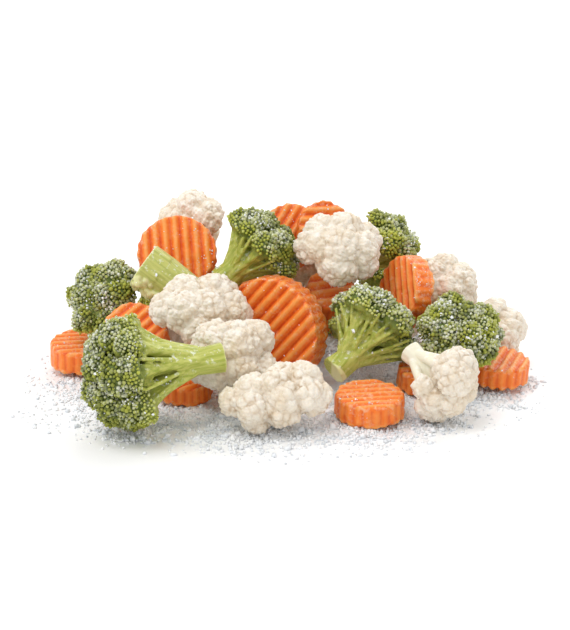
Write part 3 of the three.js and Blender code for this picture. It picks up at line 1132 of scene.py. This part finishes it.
@dataclass(kw_only=True)
class Cauliflower(Floret):
    """A cauliflower floret: lobes with knobs on them, and small curds on the knobs."""

    width: float = 27
    depth: float = 27
    height: float = 12
    lobes: int = 8
    lobe: float = 6.8
    reach: float = 98
    core: float = 0.72
    under: float = 0.5
    stalk: float = 12
    stalk_wide: float = 12
    flare: float = 1
    fork: float = 0.3
    knob: float = 2.5
    curd: float = 0.66
    opened: tuple[float, float] | None = None
    grain: float = 0.82
    crease_wide: float = 0.28

    def limbs(self, crown: Balls) -> list[Shell]:
        """Makes the stem, and a thick branch from it to each lobe.

        Args:
            crown: The lobes.

        Returns:
            The limbs.
        """
        cut, _ = self.trunk()
        wide = self.stalk_wide / 2
        top = wide * (0.5 if self.opened else 1.0)
        made = [limb_form(cut, np.array([0, 0, -0.1 * self.height]), wide * 0.88, top, 0.03)]
        for centre, radius in zip(crown.centres, crown.radii):
            aside = np.array([centre[0], centre[1], 0]) * 0.1 * wide / max(radius, 1)
            made.append(limb_form(cut * 0.9 + aside, centre, wide * 0.36, radius * 0.42))
        return made

    def curd_lobes(self, crown: Balls) -> Balls:
        """Gives the lobes that carry curd: small ones, further out, on the side that is opened.

        Args:
            crown: The lobes that the solid has.

        Returns:
            The lobes.
        """
        if not self.opened:
            return crown
        side = np.array([*self.opened, 0.0])
        ahead = unit(crown.centres) @ side > 0.3
        centres = np.where(ahead[:, None], crown.centres * 1.18 - side * 1.0, crown.centres)
        return Balls(centres, np.where(ahead, crown.radii * 0.55, crown.radii))

    def shells(self) -> list[Shell]:
        """Makes the whole floret as one skin.

        Returns:
            The skin, placed, in a list.
        """
        rng = self.rng()
        crown = self.curd_lobes(self.crown())
        lowest = -0.35 if self.opened else -0.62

        spots, facing = crown.studs(self.knob * 1.3, -1.0, lowest, rng)
        radii = self.knob * rng.uniform(0.62, 1.22, len(spots))
        spots = spots + rng.normal(scale=0.3, size=spots.shape)
        knobs = Balls(spots - facing * (radii * 0.92)[:, None], radii)
        grown = knobs.with_others(crown.centres, crown.radii - 1.0)

        spots, facing = grown.studs(self.curd * 1.9, -0.1, lowest - 0.13, rng)
        small = self.curd * rng.uniform(0.7, 1.3, len(spots))
        curds = Balls(spots - facing * (small * rng.uniform(0.1, 0.6, len(spots)))[:, None], small)

        _, down = self.core_sizes()
        parts = [
            self.core_shell(5.0, down * 0.2) if self.opened else self.core_shell(1.0, down),
            crown.shells(ball_form(4), 1.6 if self.opened else 1.0),
            knobs.shells(ball_form(3)),
            curds.shells(ball_form(2)),
            *self.limbs(crown),
        ]
        skin = skinned(parts, self.detail.value * self.grain, 1)

        # Painted shade lies in a crease, where two knobs are about as near as each other
        depth = np.sort(grown.depth(skin.points), axis=1)
        crease = np.exp(-(((depth[:, 1] - depth[:, 0]) / self.crease_wide) ** 2))
        inner = smooth_step(-grown.depth(skin.points).min(axis=1), -0.6, -0.1)
        stem = smooth_step(depth[:, 0], 0.7, 1.3)
        skin.marks = {"crease": crease * 0.75 * (1 - stem) * inner, "stem": stem}
        return [skin.placed(self.turn(), self.shift())]


@dataclass(kw_only=True)
class Broccoli(Floret):
    """A broccoli floret: a ribbed stalk that forks under a crown of flower buds."""

    width: float = 30
    depth: float = 29
    height: float = 13
    lobes: int = 9
    lobe: float = 6.5
    reach: float = 84
    core: float = 0.7
    under: float = 0.2
    stalk: float = 20
    stalk_wide: float = 9
    flare: float = 1.2
    fork: float = 0.35
    knob: float = 3.1
    bud: float = 0.7
    frosted: float = 0.0
    yellow: float = 0.0
    pale: float = 0.0
    bend: tuple[float, float, float] = (0.0, 0.0, 0.0)
    torn: tuple[float, float, float] | None = None
    lumps: int = 46
    stems: int = 26
    stem: float = 0.85
    branch: float = 0.32
    ribbed: float = 0.03
    grain: float = 1.15

    def limbs(self, crown: Balls, knobs: Balls, rng: np.random.Generator) -> list[Shell]:
        """Makes the stalk, the branches that leave it, and the thin stems that those end in.

        Args:
            crown: The lobes.
            knobs: The knobs on the lobes.
            rng: The source of chance.

        Returns:
            The limbs.
        """
        cut, fork = self.trunk()
        cut = cut + np.array(self.bend)
        wide = self.stalk_wide / 2
        neck = np.array([0.0, 0.0, 0.15 * self.height])
        middle = wide * 0.86 if self.branches else wide
        top = wide * (0.4 if self.branches else self.flare)
        made = [limb_form(cut, fork, wide, middle, 0.035), limb_form(fork, neck, middle, top)]
        if self.branches:
            made.extend(self.fan(fork, rng))
        for centre, radius in zip(crown.centres, crown.radii):
            aside = np.array([centre[0], centre[1], 0.0])
            aside = aside / max(np.linalg.norm(aside), 1e-6)
            out = min(math.hypot(centre[0], centre[1]) / (0.3 * self.width), 1.0)
            start = cut + (fork - cut) * rng.uniform(0.45, 0.95) + aside * wide * 0.5 * out
            thick = wide * self.branch
            made.append(limb_form(start, centre, thick, max(thick * 0.8, radius * 0.22), self.ribbed))
            near = np.linalg.norm(knobs.centres - centre, axis=1) < radius * 1.45
            for end in knobs.centres[near]:
                if end[2] < centre[2] + 0.25 * radius:
                    joint = start + (centre - start) * rng.uniform(0.45, 0.75)
                    made.append(limb_form(joint, end, self.stem, 0.5))
        return made

    def shells(self) -> list[Shell]:
        """Makes the stalk's skin, and the buds over the crown.

        Returns:
            The skin and the buds, placed.
        """
        rng = self.rng()
        crown = self.crown()
        spots, facing = crown.studs(self.knob * 1.5, -1.0, -0.5, rng)
        radii = self.knob * rng.uniform(0.8, 1.15, len(spots))
        knobs = Balls(spots - facing * (radii + 0.2)[:, None], radii)
        if self.torn:
            knobs = self.torn_knobs(knobs)
        grown = knobs.with_others(crown.centres, crown.radii - 2.0)
        raised = Balls(crown.centres + np.array([0, 0, 0.12 * self.height]), crown.radii)
        parts = [
            self.core_shell(2.0, 0.6),
            raised.shells(ball_form(3), 2.9),
            knobs.shells(ball_form(3), 0.5),
            *self.limbs(crown, knobs, rng),
        ]
        shreds = self.shreds(rng)
        if self.torn:
            parts.append(shreds.shells(ball_form(2)))
        skin = skinned(parts, self.detail.value * self.grain)

        # Painted shade: dark under and between the buds. Pale at the cut and along the torn flank
        depth = grown.depth(skin.points).min(axis=1)
        low = -skin.points[:, 2]
        under = smooth_step(low, -0.15 * self.height, 0.35 * self.height)
        head = smooth_step(-depth, -0.9, -0.2) * (1 - 0.85 * under)
        end = self.stalk - self.bend[2]
        cut = np.maximum(smooth_step(low, end - 0.45, end - 0.1), self.pale)
        if self.torn:
            near = -shreds.depth(skin.points).min(axis=1)
            cut = np.maximum(cut, 0.9 * smooth_step(near, -0.5, 0.1))
        skin.marks = {"local": skin.points.copy(), "head": head, "cut": cut}
        turn, shift = self.turn(), self.shift()
        return [skin.placed(turn, shift), self.buds(grown, rng, turn, shift)]

    def fan(self, fork: np.ndarray, rng: np.random.Generator) -> list[Shell]:
        """Makes the thin stems that fan out from the fork to the rim of the crown.

        Args:
            fork: Where the branches leave the stalk.
            rng: The source of chance.

        Returns:
            The stems.
        """
        made = []
        turns = np.linspace(0, 2 * math.pi, self.stems, endpoint=False)
        for turn in turns + rng.uniform(-0.09, 0.09, self.stems):
            out = np.array([math.cos(turn), math.sin(turn), 0.0])
            reach = rng.uniform(0.62, 0.86) * np.array([self.width / 2, self.depth / 2, 0.0])
            end = out * reach + np.array([0.0, 0.0, rng.uniform(-0.05, 0.2) * self.height])
            start = fork * rng.uniform(0.55, 1.15) + out * self.stalk_wide * 0.28
            made.append(limb_form(start, end, 0.8, 0.6))
        return made

    def shreds(self, rng: np.random.Generator) -> Balls:
        """Gives the rough lumps along the flank of the stalk where a branch was torn off.

        Args:
            rng: The source of chance.

        Returns:
            The lumps, or none on a whole floret.
        """
        count = self.lumps if self.torn else 0
        turns = np.radians(rng.uniform(-75, 20, count))
        out = self.stalk_wide / 2 - 0.6 + rng.uniform(0.0, 1.4, count)
        tall = -rng.uniform(0.42, 0.96, count) * self.stalk
        places = np.stack([out * np.cos(turns), out * np.sin(turns), tall], 1)
        return Balls(places, rng.uniform(0.8, 1.7, count))

    def torn_knobs(self, knobs: Balls) -> Balls:
        """Adds the few knobs of buds that a torn-off branch has left.

        Args:
            knobs: The knobs on the crown.

        Returns:
            All the knobs.
        """
        asides = [[0.0, 0.0, 0.0], [1.6, 1.2, -2.6], [-0.6, -1.8, 2.4], [1.0, -0.6, 3.4]]
        places = np.array(self.torn) + np.array(asides)
        return knobs.with_others(places, np.array([1.9, 1.5, 1.7, 1.8]))

    def buds(
        self, grown: Balls, rng: np.random.Generator, turn: np.ndarray, shift: np.ndarray
    ) -> Shell:
        """Makes the flower buds, smaller and yellower towards the rim.

        Args:
            grown: The knobs and lobes that they grow on.
            rng: The source of chance.
            turn: How the floret is turned.
            shift: How far it is moved.

        Returns:
            All the buds, placed, as one shell.
        """
        spots, facing = grown.studs(self.bud * 1.85, -0.35, -0.5, rng)
        count = len(spots)
        low = -spots[:, 2] + 0.8 * patches(spots, 4.0, 9.0)
        rim = smooth_step(low, -0.45 * self.height, 0.1 * self.height)
        size = self.bud * rng.uniform(0.72, 1.22, count) * (1 - 0.25 * rim)
        sizes = np.stack([size, size, size * rng.uniform(1.0, 1.45, count)], 1)
        lean = unit(facing + rng.normal(scale=0.16, size=(count, 3)))
        places = spots + facing * rng.uniform(-0.5, 0.3, (count, 1))
        form = bud_form()
        each = len(form.points)
        made = copies(form, places, upright_turns(lean, rng), sizes).placed(turn, shift)
        outside = places @ turn.T + shift
        up = (facing @ turn.T)[:, 2]
        drift = patches(outside, 6.0) + 0.6 * patches(outside, 2.4, 7.0)
        frost = smooth_step(0.35 * up + 1.1 * drift + self.frosted, -0.25, 0.75)
        frost = frost * rng.uniform(0.55, 1.0, count) * (1 - 0.45 * rim)
        ripe = smooth_step(patches(outside, 7.0, 33.0), -0.4, 0.3)
        # Painted highlight and shade: each bud is lighter towards its tip and darker at its base; the frost
        # also gathers towards the tip
        tip = smooth_step(form.points[:, 2], -0.8, 0.8)
        tint = rng.uniform(0, 1, count)
        fringe = np.clip((rim + self.yellow * ripe) * rng.uniform(0.5, 1.0, count), 0, 1)
        made.marks = {
            "tip": np.tile(tip, count),
            "tint": np.repeat(tint, each),
            "fringe": np.repeat(fringe, each),
            "frost": np.repeat(frost, each) * np.tile(0.35 + 0.65 * tip, count),
        }
        made.finish = 1
        return made


@dataclass(kw_only=True)
class CarrotSlice(Vegetable):
    """A crinkle-cut carrot slice that lies flat about its own origin, its ridges along Y."""

    diameter: float = 26
    thickness: float = 6.5
    ridges: int = 7
    crinkle: float = 0.7
    taper: float = 0.04
    oval: float = 0.94
    edge: float = 0.7
    flutes: int = 22
    flute_deep: float = 0.2
    frosted: float = 0.0
    glazed: float = 0.0
    sides_per_mm: float = 4.6
    rings_per_mm: float = 2.0
    hidden_share: float = 0.7

    def wave(self, across: np.ndarray) -> np.ndarray:
        """Gives the ridges' height, from -1 in a groove to 1 on a rounded crest."""
        pitch = self.diameter / self.ridges
        return 2 * (np.cos(math.pi * across / pitch) ** 2 + 0.01) ** 0.6 - 1

    def narrowed(self, tall: float | np.ndarray) -> float | np.ndarray:
        """Gives how much narrower the carrot is at that height of the slice."""
        return 1 - self.taper * (tall + self.thickness) / (2 * self.thickness)

    def outline(self) -> np.ndarray:
        """Gives points round the rim and over both faces.

        Returns:
            The points, one a row.
        """
        turns = np.linspace(0, 2 * math.pi, 181)
        points = []
        for side in (-1, 1):
            for share in (0.5, 0.8, 1.0):
                tall = side * self.thickness / 2
                radius = self.diameter / 2 * self.narrowed(tall)
                across = radius * share * np.cos(turns)
                along = radius * share * self.oval * np.sin(turns)
                pitch = self.diameter / self.ridges
                height = tall + self.crinkle * np.cos(2 * math.pi * across / pitch)
                points.append(np.stack([across, along, height], 1))
        return np.concatenate(points)

    def shells(self) -> list[Shell]:
        """Makes the slice from a ball that is pressed to its section.

        Returns:
            The slice, placed, in a list.
        """
        fine = self.diameter if self.detail is Detail.SHOWN else self.hidden_share * self.diameter
        made, around, share = pressed_ball(int(self.sides_per_mm * fine), int(self.rings_per_mm * fine))

        # The section: over the top, round the edge, down the wall, round the edge and back
        radius = self.diameter / 2
        flat = radius - self.edge
        wall = self.thickness - 2 * self.edge
        bend = math.pi * self.edge / 2
        path = share * (2 * flat + 2 * bend + wall)
        turned = np.clip((path - flat) / bend, 0, 1) * math.pi / 2
        back = np.clip((path - flat - bend - wall) / bend, 0, 1) * math.pi / 2
        down = np.clip(path - flat - bend, 0, wall)
        out = np.minimum(path, flat) + self.edge * (np.sin(turned) - (1 - np.cos(back)))
        out = out - np.maximum(path - flat - 2 * bend - wall, 0)
        tall = self.thickness / 2 - self.edge * (1 - np.cos(turned)) - down - self.edge * np.sin(back)
        out = out * self.narrowed(tall)

        # Flutes down the wall, and ridges over both faces
        rim = smooth_step(out, radius - 2.2, radius - 0.3)
        flute = np.cos(self.flutes * around + 0.8 * np.sin(3 * around))
        out = out + self.flute_deep * rim * flute
        across = out * np.cos(around)
        along = out * self.oval * np.sin(around)
        top = smooth_step(tall, -0.3 * self.thickness, 0.3 * self.thickness)
        pitch = self.diameter / self.ridges
        upper, lower = self.wave(across), self.wave(across + pitch / 2)
        tall = tall + 0.85 * self.crinkle * (top * upper - (1 - top) * lower)
        face = smooth_step(np.abs(tall), 0.3 * self.thickness, 0.45 * self.thickness)
        flatness = np.where(top > 0.5, upper, lower)
        points = np.stack([across, along, tall], 1)

        # A slightly uneven skin, and frost where it faces up, on the rim and on the crests
        turn, shift = self.turn(), self.shift()
        placed = points @ turn.T + shift
        wander = 0.28 * patches(placed, 4.5) + 0.10 * patches(placed, 1.3, 3.0)
        outward = [across * rim, along * rim, np.sign(tall) * face * self.thickness]
        normal = unit(np.stack(outward, 1) + 1e-6)
        made.points = placed + (normal * wander[:, None]) @ turn.T
        up = (normal @ turn.T)[:, 2]
        drift = patches(placed, 5.0, 11.0)
        frost = 0.55 * up + 0.9 * drift + 0.6 * rim * face + self.frosted
        frost = frost + self.glazed * rim * (1.3 - face) + 0.25 * flatness * face
        # The ridge mark carries painted shade for the grooves and the rim flutes, and a painted highlight
        # for the crests
        made.marks = {
            "ridge": flatness * face + 0.55 * flute * (1 - face),
            "frost": smooth_step(frost, 0.0, 1.1),
        }
        return [made]


# The ice


def strewn(
    forms: list[Shell],
    spots: np.ndarray,
    size: np.ndarray,
    stretch: tuple[float, float],
    rng: np.random.Generator,
) -> list[Shell]:
    """Strews small forms, each turned and stretched at random.

    Args:
        forms: The forms, which are taken in turn.
        spots: Where each copy goes.
        size: How large each copy is.
        stretch: The least and the most that a copy is stretched along an axis.
        rng: The source of chance.

    Returns:
        A shell for each form.
    """
    count = len(spots)
    turns = upright_turns(unit(rng.normal(size=(count, 3))), rng)
    sizes = size[:, None] * rng.uniform(*stretch, (count, 3))
    made = []
    for start, form in enumerate(forms):
        share = slice(start, None, len(forms))
        made.append(copies(form, spots[share], turns[share], sizes[share]))
    return made


@dataclass
class IceBed:
    """The loose ice crystals that the heap lies on, thicker against the pieces."""

    crystals: int = 9500
    chip: float = 0.75 * 0.62
    grain: float = 0.75 * 0.95
    largest: float = 1.9
    shapes: int = 10
    seed: int = 5
    foot: float = 7.0
    stride: int = 7
    bank: float = 4.5
    layer_reach: float = 0.93

    def wavy(self, turns: np.ndarray) -> np.ndarray:
        """Gives the uneven round form of the rim, about 2 across, before it is sized."""
        out = 1 - 0.03 * np.cos(4 * turns) + 0.025 * np.sin(5 * turns + 2.1) + 0.015 * np.sin(11 * turns)
        return np.stack([out * np.cos(turns), out * np.sin(turns)], 1)

    def rim(self, turns: np.ndarray) -> np.ndarray:
        """Gives the bed's uneven rim at each turn, as points in millimetres.

        Args:
            turns: Angles in radians.

        Returns:
            One point a row.
        """
        corners = self.wavy(np.arange(BED_CORNERS) * 2 * math.pi / BED_CORNERS)
        low, high = corners.min(axis=0), corners.max(axis=0)
        scale = np.array([BED_WIDTH, BED_DEPTH]) / (high - low)
        return (self.wavy(turns) - (low + high) / 2) * scale

    def feet(self, shells: list[Shell]) -> kdtree.KDTree:
        """Finds where the pieces stand, from the points of theirs that are near the floor.

        Args:
            shells: The vegetables' shells.

        Returns:
            Those points, laid on the floor.
        """
        points = np.concatenate([shell.points[:: self.stride] for shell in shells])
        points = points[points[:, 2] < self.foot]
        tree = kdtree.KDTree(len(points))
        for index, place in enumerate(points):
            tree.insert((place[0], place[1], 0), index)
        tree.balance()
        return tree

    def cover(
        self, places: np.ndarray, feet: kdtree.KDTree, out: np.ndarray
    ) -> tuple[np.ndarray, np.ndarray]:
        """Gives how high the ice lies at each place, and how thickly it is strewn there.

        Args:
            places: Points on the floor.
            feet: Where the pieces stand.
            out: How far out each place is, from 0 in the middle to 1 at the rim.

        Returns:
            The heights in millimetres, and the densities.
        """
        gaps = np.array([feet.find((place[0], place[1], 0))[2] for place in places])
        flat = np.stack([places[:, 0], places[:, 1], np.zeros(len(places))], 1)
        clumps = patches(flat, 9.0) + 0.6 * patches(flat, 3.5, 5.0)
        bank = np.exp(-gaps / self.bank)
        fade = 1 - smooth_step(out + 0.16 * patches(flat, 16.0, 3.0), 0.45, 0.98)
        height = (0.85 + 1.6 * bank + 1.15 * clumps) * fade
        return np.maximum(height, 0.03), np.maximum((0.9 + bank + clumps) * fade, 0.0) + 0.03

    def layer(self, feet: kdtree.KDTree) -> Shell:
        """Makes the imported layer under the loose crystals, from a ball pressed flat.

        Args:
            feet: Where the pieces stand.

        Returns:
            The layer.
        """
        rng = np.random.default_rng(self.seed + 1)
        made, around, share = pressed_ball(360, 190)
        out = np.sin(math.pi * share)
        places = self.rim(around) * (out * self.layer_reach)[:, None]
        tall, _ = self.cover(places, feet, out)
        tall = tall * rng.uniform(0.86, 1.0, len(tall))
        upper = share < 0.4999
        made.points = np.column_stack([places, np.where(upper, tall * (1 - out**8), 0.0)])
        made.marks = {"thin": smooth_step(out, 0.6, 0.95)}
        return made

    def scatter(self, feet: kdtree.KDTree, forms: list[Shell], mean: float, seed: int) -> list[Shell]:
        """Scatters loose crystals over the layer.

        Args:
            feet: Where the pieces stand.
            forms: The shapes of crystals.
            mean: Their usual size in millimetres.
            seed: The source of chance.

        Returns:
            A shell for each shape.
        """
        rng = np.random.default_rng(seed)
        count = self.crystals
        out = np.sqrt(rng.uniform(0.05, 1, count * 3))
        places = self.rim(rng.uniform(0, 2 * math.pi, count * 3)) * out[:, None]
        tall, density = self.cover(places, feet, out)
        kept = rng.choice(len(out), count, replace=False, p=density / density.sum())
        places, tall = places[kept], tall[kept]
        size = np.minimum(mean * rng.lognormal(0.0, 0.35, count), self.largest)
        spots = np.column_stack([places, 0.12 * size + tall * rng.uniform(0.55, 0.95, count)])
        made = strewn(forms, spots, size, (0.6, 1.25), rng)
        for shell in made:
            shell.points[:, 2] = np.maximum(shell.points[:, 2], 0.0)
        return made

    def build(self, shells: list[Shell], finish: bpy.types.Material) -> None:
        """Makes the layer and the crystals.

        Args:
            shells: The vegetables' shells.
            finish: The ice.
        """
        feet = self.feet(shells)
        layer = make_piece("ice_layer", [self.layer(feet)], [finish])
        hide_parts("ice_crystals")
        chips = [chip_form(seed) for seed in range(self.shapes)]
        make_piece("ice_chips", self.scatter(feet, chips, self.chip, self.seed), [finish])
        grains = [grain_form(seed) for seed in range(self.shapes)]
        make_piece("ice_grains", self.scatter(feet, grains, self.grain, self.seed + 2), [finish])


@dataclass
class FrostGrains:
    """Grains of ice that cling in clumps to one kind of vegetable, most where it faces up."""

    name: str
    grains: int
    mean: float
    seed: int
    shapes: int = 6
    first_shape: int = 40

    def build(self, shells: list[Shell], finish: bpy.types.Material) -> None:
        """Scatters the grains over every third triangle of the shells.

        Args:
            shells: The vegetables' shells.
            finish: The ice.
        """
        rng = np.random.default_rng(self.seed)
        corners = np.concatenate([shell.points[shell.faces[::3]] for shell in shells])
        across = np.cross(corners[:, 1] - corners[:, 0], corners[:, 2] - corners[:, 0])
        facing = unit(across)
        spots = corners.mean(axis=1)
        weight = np.linalg.norm(across, axis=1) * np.clip(facing[:, 2] + 0.3, 0.05, 1)

        # Of six times as many places as grains, those where the frost has drifted are kept
        some = rng.choice(len(spots), self.grains * 6, p=weight / weight.sum())
        drift = patches(spots[some], 6.0, 21.0) + 0.9 * patches(spots[some], 1.8, 2.0)
        order = np.argsort(-(drift + rng.normal(scale=0.12, size=len(some))))
        some = some[order][: self.grains]

        size = self.mean * rng.lognormal(0.0, 0.45, len(some))
        lie = spots[some] + facing[some] * (size * 0.3)[:, None]
        chips = [chip_form(self.first_shape + shape) for shape in range(self.shapes)]
        make_piece(self.name, strewn(chips, lie, size, (0.7, 1.2), rng), [finish], smooth=False)


# The heap: what each piece has of its own. A stance is the heading, lift and roll of its own Z.

HIDDEN = {"detail": Detail.HIDDEN}

VEGETABLES: list[Vegetable] = [
    Cauliflower(
        name="cauliflower_under_left", stance=(200, 60, 0), width=25, depth=25, height=11, stalk=10,
        seed=11, **HIDDEN,
    ),
    Cauliflower(
        name="cauliflower_under_middle", stance=(0, 60, 0), width=21, depth=21, height=10, stalk=8,
        seed=12, **HIDDEN,
    ),
    Broccoli(
        name="broccoli_under_middle", stance=(30, 60, 0), width=26, depth=25, stalk=15, seed=13, **HIDDEN
    ),
    Cauliflower(name="cauliflower_under_right", stance=(20, 70, 0), width=25, depth=24, seed=14, **HIDDEN),
    CarrotSlice(name="carrot_inside_left", stance=(170, 75, 20), ridges=5, **HIDDEN),
    CarrotSlice(name="carrot_inside_middle", stance=(-90, 45, 20), diameter=23, ridges=5, **HIDDEN),
    Broccoli(name="broccoli_back_left", stance=(130, 65, 0), width=28, stalk=14, seed=15),
    Cauliflower(name="cauliflower_back", stance=(100, 40, 40), seed=16),
    CarrotSlice(name="carrot_back_flat", stance=(0, 88, 20), diameter=27, ridges=6),
    Broccoli(name="broccoli_back_right", stance=(60, 30, 0), seed=17),
    CarrotSlice(name="carrot_back_right", stance=(40, 80, 50), ridges=6),
    CarrotSlice(name="carrot_back_leaning", stance=(165, 78, 10), diameter=26, ridges=6),
    Cauliflower(name="cauliflower_high_back", stance=(80, 40, 0), width=25, depth=25, seed=35),
    CarrotSlice(name="carrot_flat_left", stance=(-90, 86, 10), thickness=7.5, frosted=0.3),
    CarrotSlice(name="carrot_low_left", stance=(-80, 80, 30), diameter=20, ridges=6),
    CarrotSlice(name="carrot_flat_front", stance=(-90, 86, 8), diameter=25, thickness=7, frosted=0.3),
    CarrotSlice(name="carrot_low_middle", stance=(-80, 80, 0), diameter=19, ridges=5),
    CarrotSlice(name="carrot_flat_right", stance=(-60, 82, 40), diameter=23, thickness=7, frosted=0.3),
    Cauliflower(
        name="cauliflower_right", stance=(-30, 50, 0), width=25, depth=24, height=11, lobe=6, stalk=10,
        seed=18,
    ),
    Cauliflower(
        name="cauliflower_front", stance=(-90, 30, 15), width=22, depth=39, height=11, lobes=11, lobe=6.2,
        stalk=9, seed=20,
    ),
    Cauliflower(
        name="cauliflower_front_right", stance=(-50, -25, 0), width=29, depth=28, height=12, stalk=16,
        stalk_wide=9, seed=21, opened=(-0.5, -0.86),
    ),
    Broccoli(
        name="broccoli_right", stance=(-75, 40, 0), width=31, depth=33, height=12, lobes=12, lobe=6.2,
        stalk=13, seed=22, frosted=0.25, yellow=0.7,
    ),
    Broccoli(
        name="broccoli_standing", stance=(50, 35, 0), width=39, depth=38, height=14, lobes=12, lobe=6.4,
        stalk=18, stalk_wide=10, branches=(5, 7, 8, 9, 10, 11), seed=23, frosted=0.35, yellow=0.45,
        bend=(-1.1, 2.3, -1.6),
    ),
    CarrotSlice(
        name="carrot_big_front", stance=(-118, 8, 50), diameter=39, thickness=8, ridges=10, crinkle=0.9,
        flutes=34, glazed=0.9,
    ),
    Cauliflower(
        name="cauliflower_centre", stance=(-70, 15, 0), width=33, depth=34, height=13, lobes=9, lobe=7.2,
        stalk=10, seed=24,
    ),
    Broccoli(
        name="broccoli_front_left", stance=(195, -6, 0), width=40, depth=38, height=18, lobes=18, lobe=7,
        reach=98, stalk=30, stalk_wide=10, branches=(12, 13, 14, 15, 16, 17), seed=25, frosted=0.25,
    ),
    CarrotSlice(name="carrot_middle_left", stance=(-95, 40, 45), diameter=24, glazed=0.5),
    Broccoli(
        name="broccoli_left", stance=(-110, 45, 0), width=32, depth=30, lobes=11, seed=26, frosted=0.2,
        yellow=0.25,
    ),
    Cauliflower(
        name="cauliflower_middle", stance=(-60, 50, 0), width=28, depth=38, lobes=9, stalk=11, seed=27
    ),
    CarrotSlice(name="carrot_middle_right", stance=(-60, 60, 0), diameter=21, ridges=5, **HIDDEN),
    Cauliflower(
        name="cauliflower_back_right", stance=(-30, 50, 0), width=25, depth=25, height=11, stalk=10, seed=28
    ),
    CarrotSlice(name="carrot_right", stance=(-155, 12, 120), diameter=27, glazed=0.8),
    Broccoli(
        name="broccoli_top_right", stance=(0, 25, 0), width=30, depth=28, height=12, lobes=10, lobe=5.8,
        stalk=15, stalk_wide=7, seed=30, yellow=1.0,
    ),
    Broccoli(
        name="broccoli_cut_stalk", stance=(-10, -35, 0), width=17, depth=16, height=7, lobe=5, stalk=20,
        stalk_wide=16, flare=0.9, seed=31, pale=0.15, torn=(8.6, -4.6, -10.5),
    ),
    CarrotSlice(name="carrot_upper_left", stance=(-90, 28, 95), diameter=29, ridges=8),
    Cauliflower(
        name="cauliflower_top_left", stance=(200, 40, 0), width=31, depth=29, height=13, lobe=7, stalk=9,
        seed=32,
    ),
    Broccoli(
        name="broccoli_top", stance=(10, 42, 0), width=33, depth=32, lobes=11, lobe=6.2, stalk=18,
        stalk_wide=11, branches=(6, 7, 8, 9, 10), seed=33, frosted=0.1, yellow=0.35,
    ),
    CarrotSlice(name="carrot_top", stance=(-90, 30, 60), diameter=24),
    Cauliflower(
        name="cauliflower_top", stance=(-85, 50, 0), width=29, depth=31, height=13, lobes=9, lobe=7, seed=34
    ),
    CarrotSlice(name="carrot_top_back", stance=(-80, 30, 0), diameter=21, ridges=6),
]


# The studio


@dataclass(frozen=True)
class Studio:
    """A white floor, soft light from above and behind, and the camera at the photograph's angle."""

    distance: float = 0.7
    elevation: float = 17.0
    aim: float = 0.025
    across: float = 0.2205
    sensor_mm: float = 36.0
    floor_size: float = 6.0
    surround: float = 0.85

    def floor(self) -> None:
        """Makes the floor."""
        form = bmesh.new()
        bmesh.ops.create_grid(form, x_segments=2, y_segments=2, size=self.floor_size)
        mesh = bpy.data.meshes.new("floor")
        form.to_mesh(mesh)
        form.free()
        mesh.materials.append(StudioFloor().build())
        made = bpy.data.objects.new("floor", mesh)
        bpy.context.scene.collection.objects.link(made)

    def lamp(self, name: str, place: tuple[float, float, float], size: float, power: float) -> None:
        """Hangs a square soft lamp that faces the heap.

        Args:
            name: Its name.
            place: Where it hangs, in metres.
            size: Its side in metres.
            power: Its power in watts.
        """
        light = bpy.data.lights.new(name, "AREA")
        light.size = size
        light.energy = power
        made = bpy.data.objects.new(name, light)
        made.location = place
        made.rotation_euler = (-Vector(place)).to_track_quat("-Z", "Y").to_euler()
        bpy.context.scene.collection.objects.link(made)

    def world(self) -> None:
        """Makes the white surround."""
        world = bpy.data.worlds.new("surround")
        world.use_nodes = True
        background = world.node_tree.nodes["Background"]
        background.inputs["Color"].default_value = (1, 1, 1, 1)
        background.inputs["Strength"].default_value = self.surround
        bpy.context.scene.world = world

    def camera(self) -> None:
        """Puts the camera in front of the heap."""
        lens = bpy.data.cameras.new("camera")
        lens.sensor_width = self.sensor_mm
        lens.lens = self.sensor_mm * self.distance / self.across
        lens.clip_start = 0.01
        made = bpy.data.objects.new("camera", lens)
        lift = math.radians(self.elevation)
        back = Vector((0, -math.cos(lift), math.sin(lift)))
        made.location = Vector((0, 0, self.aim)) + back * self.distance
        made.rotation_euler = (-back).to_track_quat("-Z", "Y").to_euler()
        bpy.context.scene.collection.objects.link(made)
        bpy.context.scene.camera = made

    def build(self) -> None:
        """Makes the floor, the lights and the camera."""
        self.floor()
        self.lamp("key_lamp", place=(-0.5, -0.35, 1.1), size=0.8, power=6.3)
        self.lamp("back_lamp", place=(0.4, 0.9, 0.8), size=0.9, power=5.5)
        self.world()
        self.camera()
        bpy.context.scene.view_settings.view_transform = "Standard"


def main() -> None:
    """Builds the heap, its ice and the studio."""
    logging.basicConfig(level=logging.INFO, format="%(message)s")
    dresses = {
        Cauliflower: ([CauliflowerCurd().build()], "cauliflower"),
        Broccoli: ([BroccoliStalk().build(), BroccoliBuds().build()], "broccoli"),
        CarrotSlice: ([CarrotFlesh().build()], "carrot"),
    }
    ice = IceCrystal().build()
    shells: list[Shell] = []
    frosted: dict[str, list[Shell]] = {"buds": [], "stalks": [], "carrots": []}
    for vegetable in VEGETABLES:
        dress, slot = dresses[type(vegetable)]
        made, parts = vegetable.build(dress)
        shells.extend(parts)
        if isinstance(vegetable, Broccoli):
            frosted["stalks"].append(parts[0])
            frosted["buds"].append(parts[1])
        elif isinstance(vegetable, CarrotSlice):
            frosted["carrots"].extend(parts)
    IceBed().build(shells, ice)
    FrostGrains("frost_on_buds", grains=4000, mean=0.2, seed=9).build(frosted["buds"], ice)
    FrostGrains("frost_on_stalks", grains=420, mean=0.24, seed=29).build(frosted["stalks"], ice)
    FrostGrains("frost_on_carrots", grains=800, mean=0.16, seed=19).build(frosted["carrots"], ice)
    Studio().build()


if __name__ == "__main__":
    main()
